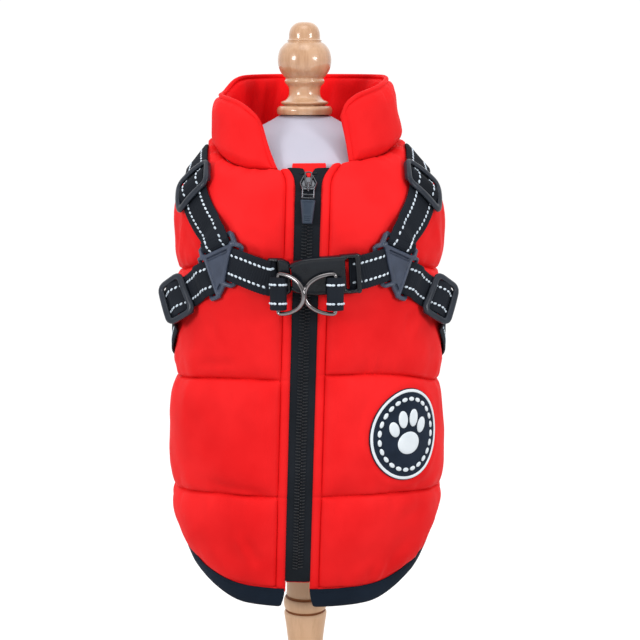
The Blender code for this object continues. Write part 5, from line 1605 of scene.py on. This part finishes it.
def stitching():
    """Thread along the zip's plackets, the quilting lines and the hem binding."""
    parts = []
    for _, side in SIDES:
        up = np.linspace(16.0, 266.0, 500)
        parts.append(stitch_row(zip_degrees(side * (ZIP_HALF + PLACKET), up), up, SEWN - 0.55))
    turn = np.linspace(-180.0, 180.0, 900)
    off_zip = np.abs(turn - zip_degrees(0.0, 150.0)) > 9.0
    for line in level_lines(turn)[1:4]:
        for chosen in (off_zip & (turn < 0), off_zip & (turn > 0)):
            degrees, up = turn[chosen], line[chosen]
            clear = armhole_distance(degrees, up) > 3.0
            for run in np.split(np.arange(len(up)), np.flatnonzero(np.diff(clear)) + 1):
                if clear[run[0]] and len(run) > 5:
                    parts.append(stitch_row(degrees[run], up[run], SEWN - 0.6))
    add_mesh("thread_red", merged(parts), RED_THREAD, "red_cloth")
    parts = []
    for chosen in (turn < zip_degrees(-9.5, 8.0), turn > zip_degrees(9.5, 8.0)):
        degrees = turn[chosen]
        parts.append(stitch_row(degrees, read_table(HEM_FOOT, degrees) + 8.2, 4.3))
    add_mesh("thread_navy", merged(parts), BINDING, "navy_binding")


# ---------- the form and the stand ----------


def spun(profile, sides, depth_ratio=1.0, steps=6):
    """A body turned about the stand's axis."""
    fine = curve_through(profile, steps)
    turn = np.arange(sides) * TAU / sides
    x, y = fine[:, :1] * np.cos(turn), depth_ratio * fine[:, :1] * np.sin(turn)
    return tube(np.stack([x, y, fine[:, 1:] + 0 * turn], axis=-1))


def dress_form():
    """The limbless form: the coat's inner line, drawn in so that it stays clear of the cloth."""
    profile = list(FORM_FOOT)
    for half, height, lean in BODY_LINE[3:12:2] + BODY_LINE[12:]:
        slack = FORM_GAP + lean + (2.0 if height < 330.0 else 0.0)
        profile.append((half - slack, height))
    add_mesh("jersey_form", spun(profile, 144, DEPTH_RATIO), KNIT, "form_cloth", replaces=("dress_form",))


def stand():
    """The turned finial, post and base, the post's grooves burnt brown."""
    stand_in("turned", "finial", spun(FINIAL, 96), FINIAL_WOOD, "turned_wood", crease=35.0)
    post = stand_in("turned", "post", spun(POST, 96), POST_WOOD, "turned_wood", crease=35.0)
    post.data.materials.append(BURNT)
    for face in post.data.polygons:
        height = face.center.z / MM
        if any(low < height < high for low, high in GROOVES):
            face.material_index = 1
    stand_in("turned", "base", spun(BASE, 160, steps=8), BASE_WOOD, "turned_wood")


# ---------- the slider and its pull ----------


def slider_frame():
    """The slider's place: its right, up and out directions and its origin."""
    at = float(zip_degrees(0.0, SLIDER_UP))
    out = outward(at, SLIDER_UP)
    up = unit(np.cross(out, np.array([1.0, 0.0, 0.0])))
    return np.cross(up, out), up, out, on_skin(at, SLIDER_UP, CHAIN_OUT[1])


HINGE_IN_SLIDER = (0.0, -4.6, 4.3)
PULL_LOOP = 7.7
PULL_WIRE = 1.2
PULL_HALF = (PULL_LOOP - PULL_WIRE) / 2
PULL_FOOT = PULL_WIRE / 2 - PULL_LOOP + 0.7
GRIP_LONG = 14.0
GRIP_THICK = 2.6
GRIP_TOP = PULL_WIRE / 2 - PULL_LOOP - SEAM_GAP
GRIP_END = GRIP_TOP - GRIP_LONG
# Bars of the slider: start, end, width, height. It has those of its right side on its left too.
SLIDER_PLATE = [(-4.4, -0.8), (-3.3, -4.8), (3.3, -4.8), (4.4, -0.8), (3.0, 3.4), (-3.0, 3.4)]
SLIDER_SIDE = [
    ((4.6, -0.8, 1.7), (3.4, -4.9, 1.7), 1.1, 2.0), ((4.6, -0.8, 1.7), (2.7, 3.6, 1.7), 1.1, 2.0),
    ((1.9, 2.2, 2.8), (1.9, 5.6, 2.6), 0.9, 1.0), ((1.9, 5.7, 2.6), (0.0, 6.3, 2.4), 0.9, 1.0),
    ((2.0, 2.4, 2.6), (1.2, -2.6, 3.0), 1.0, 1.2),
]
SLIDER_BRIDGE = [
    ((0.0, -6.5, 3.6), (0.0, -6.1, 5.8), 1.5, 1.4), ((0.0, -2.4, 2.0), (0.0, -3.0, 5.7), 1.6, 2.4),
    ((0.0, -6.3, 5.8), (0.0, -3.0, 5.8), 1.7, 1.2), ((0.0, -5.0, 2.0), (0.0, -6.2, 4.0), 1.4, 1.8),
]
# Bars of the pull, in the same way. They turn about its hinge.
PULL_BARS = [
    ((-PULL_HALF, 0.0, 0.0), (PULL_HALF, 0.0, 0.0), PULL_WIRE, PULL_WIRE),
    ((-PULL_HALF, PULL_FOOT, 0.0), (PULL_HALF, PULL_FOOT, 0.0), 1.0, PULL_WIRE),
    ((-PULL_HALF, PULL_FOOT, 0.0), (-PULL_HALF, 0.0, 0.0), 1.0, PULL_WIRE),
    ((PULL_HALF, PULL_FOOT, 0.0), (PULL_HALF, 0.0, 0.0), 1.0, PULL_WIRE),
    ((-PULL_HALF + 0.5, PULL_FOOT + 2.0, -0.1), (PULL_HALF - 0.5, PULL_FOOT + 2.0, -0.1), 0.9, 0.8),
]
GRIP_LINE = [
    (-3.5, GRIP_TOP - 0.8), (3.5, GRIP_TOP - 0.8), (2.2, GRIP_END + 0.8), (-2.2, GRIP_END + 0.8),
]


def placed(shape, right, up, out, origin):
    """A shape laid along three directions from an origin."""
    points, faces = shape
    return origin + points[:, :1] * right + points[:, 1:2] * up + points[:, 2:] * out, faces


def slider(right, up, out, origin):
    """The cast slider and its bridge, which the pull hangs in."""
    parts = [slab(SLIDER_PLATE, 0.5, 1.5)]
    for way in (-1, 1):
        parts += [rod((way * a[0], *a[1:]), (way * b[0], *b[1:]), *size) for a, b, *size in SLIDER_SIDE]
    parts += [rod(*row) for row in SLIDER_BRIDGE]
    shape = placed(fused(parts, 0.18, 2), right, up, out, origin)
    stand_in("cast", "zip_slider", shape, NICKEL, "zip_metal")


def pull(pivot):
    """The wire pull, its tip near the chain, and the ribbed grip moulded on it."""
    tip_up = SLIDER_UP + HINGE_IN_SLIDER[1] - PULL_LOOP - GRIP_LONG
    tip = on_skin(float(zip_degrees(0.0, tip_up)), tip_up, CHAIN_OUT[1] + GRIP_THICK / 2 + 0.7)
    along = unit(pivot - tip)
    side = np.array([1.0, 0.0, 0.0])
    side = unit(side - side.dot(along) * along)
    place = side, along, np.cross(side, along), pivot
    shape = placed(fused([rod(*row) for row in PULL_BARS], 0.16, 2), *place)
    stand_in("wire", "zip_pull", shape, NICKEL, "zip_metal", body="zip_pull")
    grip = [slab(GRIP_LINE, -0.75, 0.75)] + frame_of(GRIP_LINE, 0.0, 1.6, GRIP_THICK)
    for k in range(4):
        level = GRIP_TOP - 9.2 - 1.15 * k
        reach = 2.7 - 0.12 * k
        grip.append(rod((-reach, level, 0.8), (reach, level, 0.8), 0.55, 0.7))
    shape = placed(fused(grip, 0.22, 3), *place)
    add_mesh("rubber_pull_grip", shape, GRIP, "grip_rubber", body="zip_pull", replaces=("zip_pull_grip",))


def slider_and_pull():
    """The slider at the top of the zip, and its pull hanging down."""
    *axes, origin = slider_frame()
    slider(*axes, origin)
    pull(origin + sum(axis * size for axis, size in zip(axes, HINGE_IN_SLIDER)))


# ---------- light, floor and camera ----------


WHITE = (1.0, 1.0, 1.0, 1.0)
# Lamps: name, angle from the front, height, distance, radius, watts.
LAMPS = [
    ("soft_box_left", -46.0, 0.62, 1.3, 0.20, 7.5), ("soft_box_right", 46.0, 0.60, 1.3, 0.20, 6.5),
    ("overhead", 0.0, 1.5, 0.5, 0.45, 3.5),
]
LAMPS_AIM = (0.0, -0.03, 0.30)
FLOOR_REACH = 6.0
PHOTO_LENS = 85.5
PHOTO_EYE = (0.0094, -0.9383, 0.4186)
PHOTO_TILT = 81.0


def sky():
    """Soft white light from all round, dimmer from the front and from below, on a white backdrop."""
    world = bpy.data.worlds.new("studio")
    world.use_nodes = True
    tree = world.node_tree
    tree.nodes.clear()

    def math_node(operation, *values):
        return add_node(tree, "ShaderNodeMath", dict(enumerate(values)), operation=operation).outputs[0]

    def light_node(strength):
        return add_node(tree, "ShaderNodeBackground", {"Color": WHITE, "Strength": strength}).outputs[0]

    where = add_node(tree, "ShaderNodeTexCoord").outputs["Generated"]
    parts = add_node(tree, "ShaderNodeSeparateXYZ", {0: where})
    ahead = math_node("MULTIPLY_ADD", parts.outputs["Y"], 0.33, 0.66)
    above = math_node("MULTIPLY_ADD", parts.outputs["Z"], 0.62, ahead)
    lit, seen = light_node(math_node("MAXIMUM", above, 0.58)), light_node(1.05)
    path = add_node(tree, "ShaderNodeLightPath").outputs["Is Camera Ray"]
    mixed = add_node(tree, "ShaderNodeMixShader", {0: path, 1: lit, 2: seen})
    add_node(tree, "ShaderNodeOutputWorld", {"Surface": mixed.outputs[0]})
    bpy.context.scene.world = world


def lamps():
    """Two round soft boxes in front and a wide one overhead."""
    for name, azimuth, height, away, radius, power in LAMPS:
        light = bpy.data.lights.new(name, "AREA")
        light.shape = "DISK"
        light.size = 2 * radius
        light.energy = power
        lamp = bpy.data.objects.new(name, light)
        turn = math.radians(azimuth)
        lamp.location = (away * math.sin(turn), -away * math.cos(turn), height)
        lamp.rotation_euler = (Vector(LAMPS_AIM) - lamp.location).to_track_quat("-Z", "Y").to_euler()
        bpy.context.scene.collection.objects.link(lamp)


def pale_floor():
    """The floor, which lights nothing from below."""
    corners = [(x * FLOOR_REACH, y * FLOOR_REACH, 0) for x, y in ((-1, -1), (1, -1), (1, 1), (-1, 1))]
    floor = new_object("floor", corners, [(0, 1, 2, 3)], turned=False)
    material, tree, shader, where = surface("pale_floor", (0.93, 0.93, 0.93), 0.8)
    tint(tree, shader, noise(tree, where, 3.0), (0.92, 0.92, 0.92), (0.94, 0.94, 0.94))
    floor.data.materials.append(material)
    floor.visible_diffuse = False


def camera():
    """The photograph's camera."""
    lens = bpy.data.cameras.new("photo_camera")
    lens.lens = PHOTO_LENS
    lens.sensor_width = 36.0
    eye = bpy.data.objects.new("photo_camera", lens)
    eye.location = PHOTO_EYE
    eye.rotation_euler = (math.radians(PHOTO_TILT), 0.0, 0.0)
    scene = bpy.context.scene
    scene.collection.objects.link(eye)
    scene.camera = eye
    scene.view_settings.view_transform = "Standard"
    scene.view_settings.exposure = 0.0


def main():
    """Makes every piece, then the light, the floor and the camera."""
    for word, side in SIDES:
        side_panel("panel_" + word, side)
    belly_panel("panel_belly")
    for word, side in SIDES:
        armhole_binding(word, side)
    gap = float(0.5 * SEAM_GAP * degrees_per_mm(SIDE_SEAM, 75.0))
    hem_band("left", -SIDE_SEAM + gap, 0.0, -1)
    hem_band("right", 0.0, SIDE_SEAM - gap, 1)
    hem_band("belly", SIDE_SEAM + gap, 360.0 - SIDE_SEAM - gap, 0)
    collar()
    zip_tapes()
    zip_teeth()
    zip_guard()
    slider_and_pull()
    for word, side in SIDES:
        yoke(word, side)
        glide(word, side, "neck", NECK_GLIDE, NECK_WHOLE, 0.0)
        glide(word, side, "girth", GIRTH_GLIDE, GIRTH_WHOLE, GIRTH_STAND)
    buckle()
    long_straps()
    buckle_straps()
    rings()
    patch()
    stitching()
    dress_form()
    stand()
    sky()
    lamps()
    pale_floor()
    camera()


main()
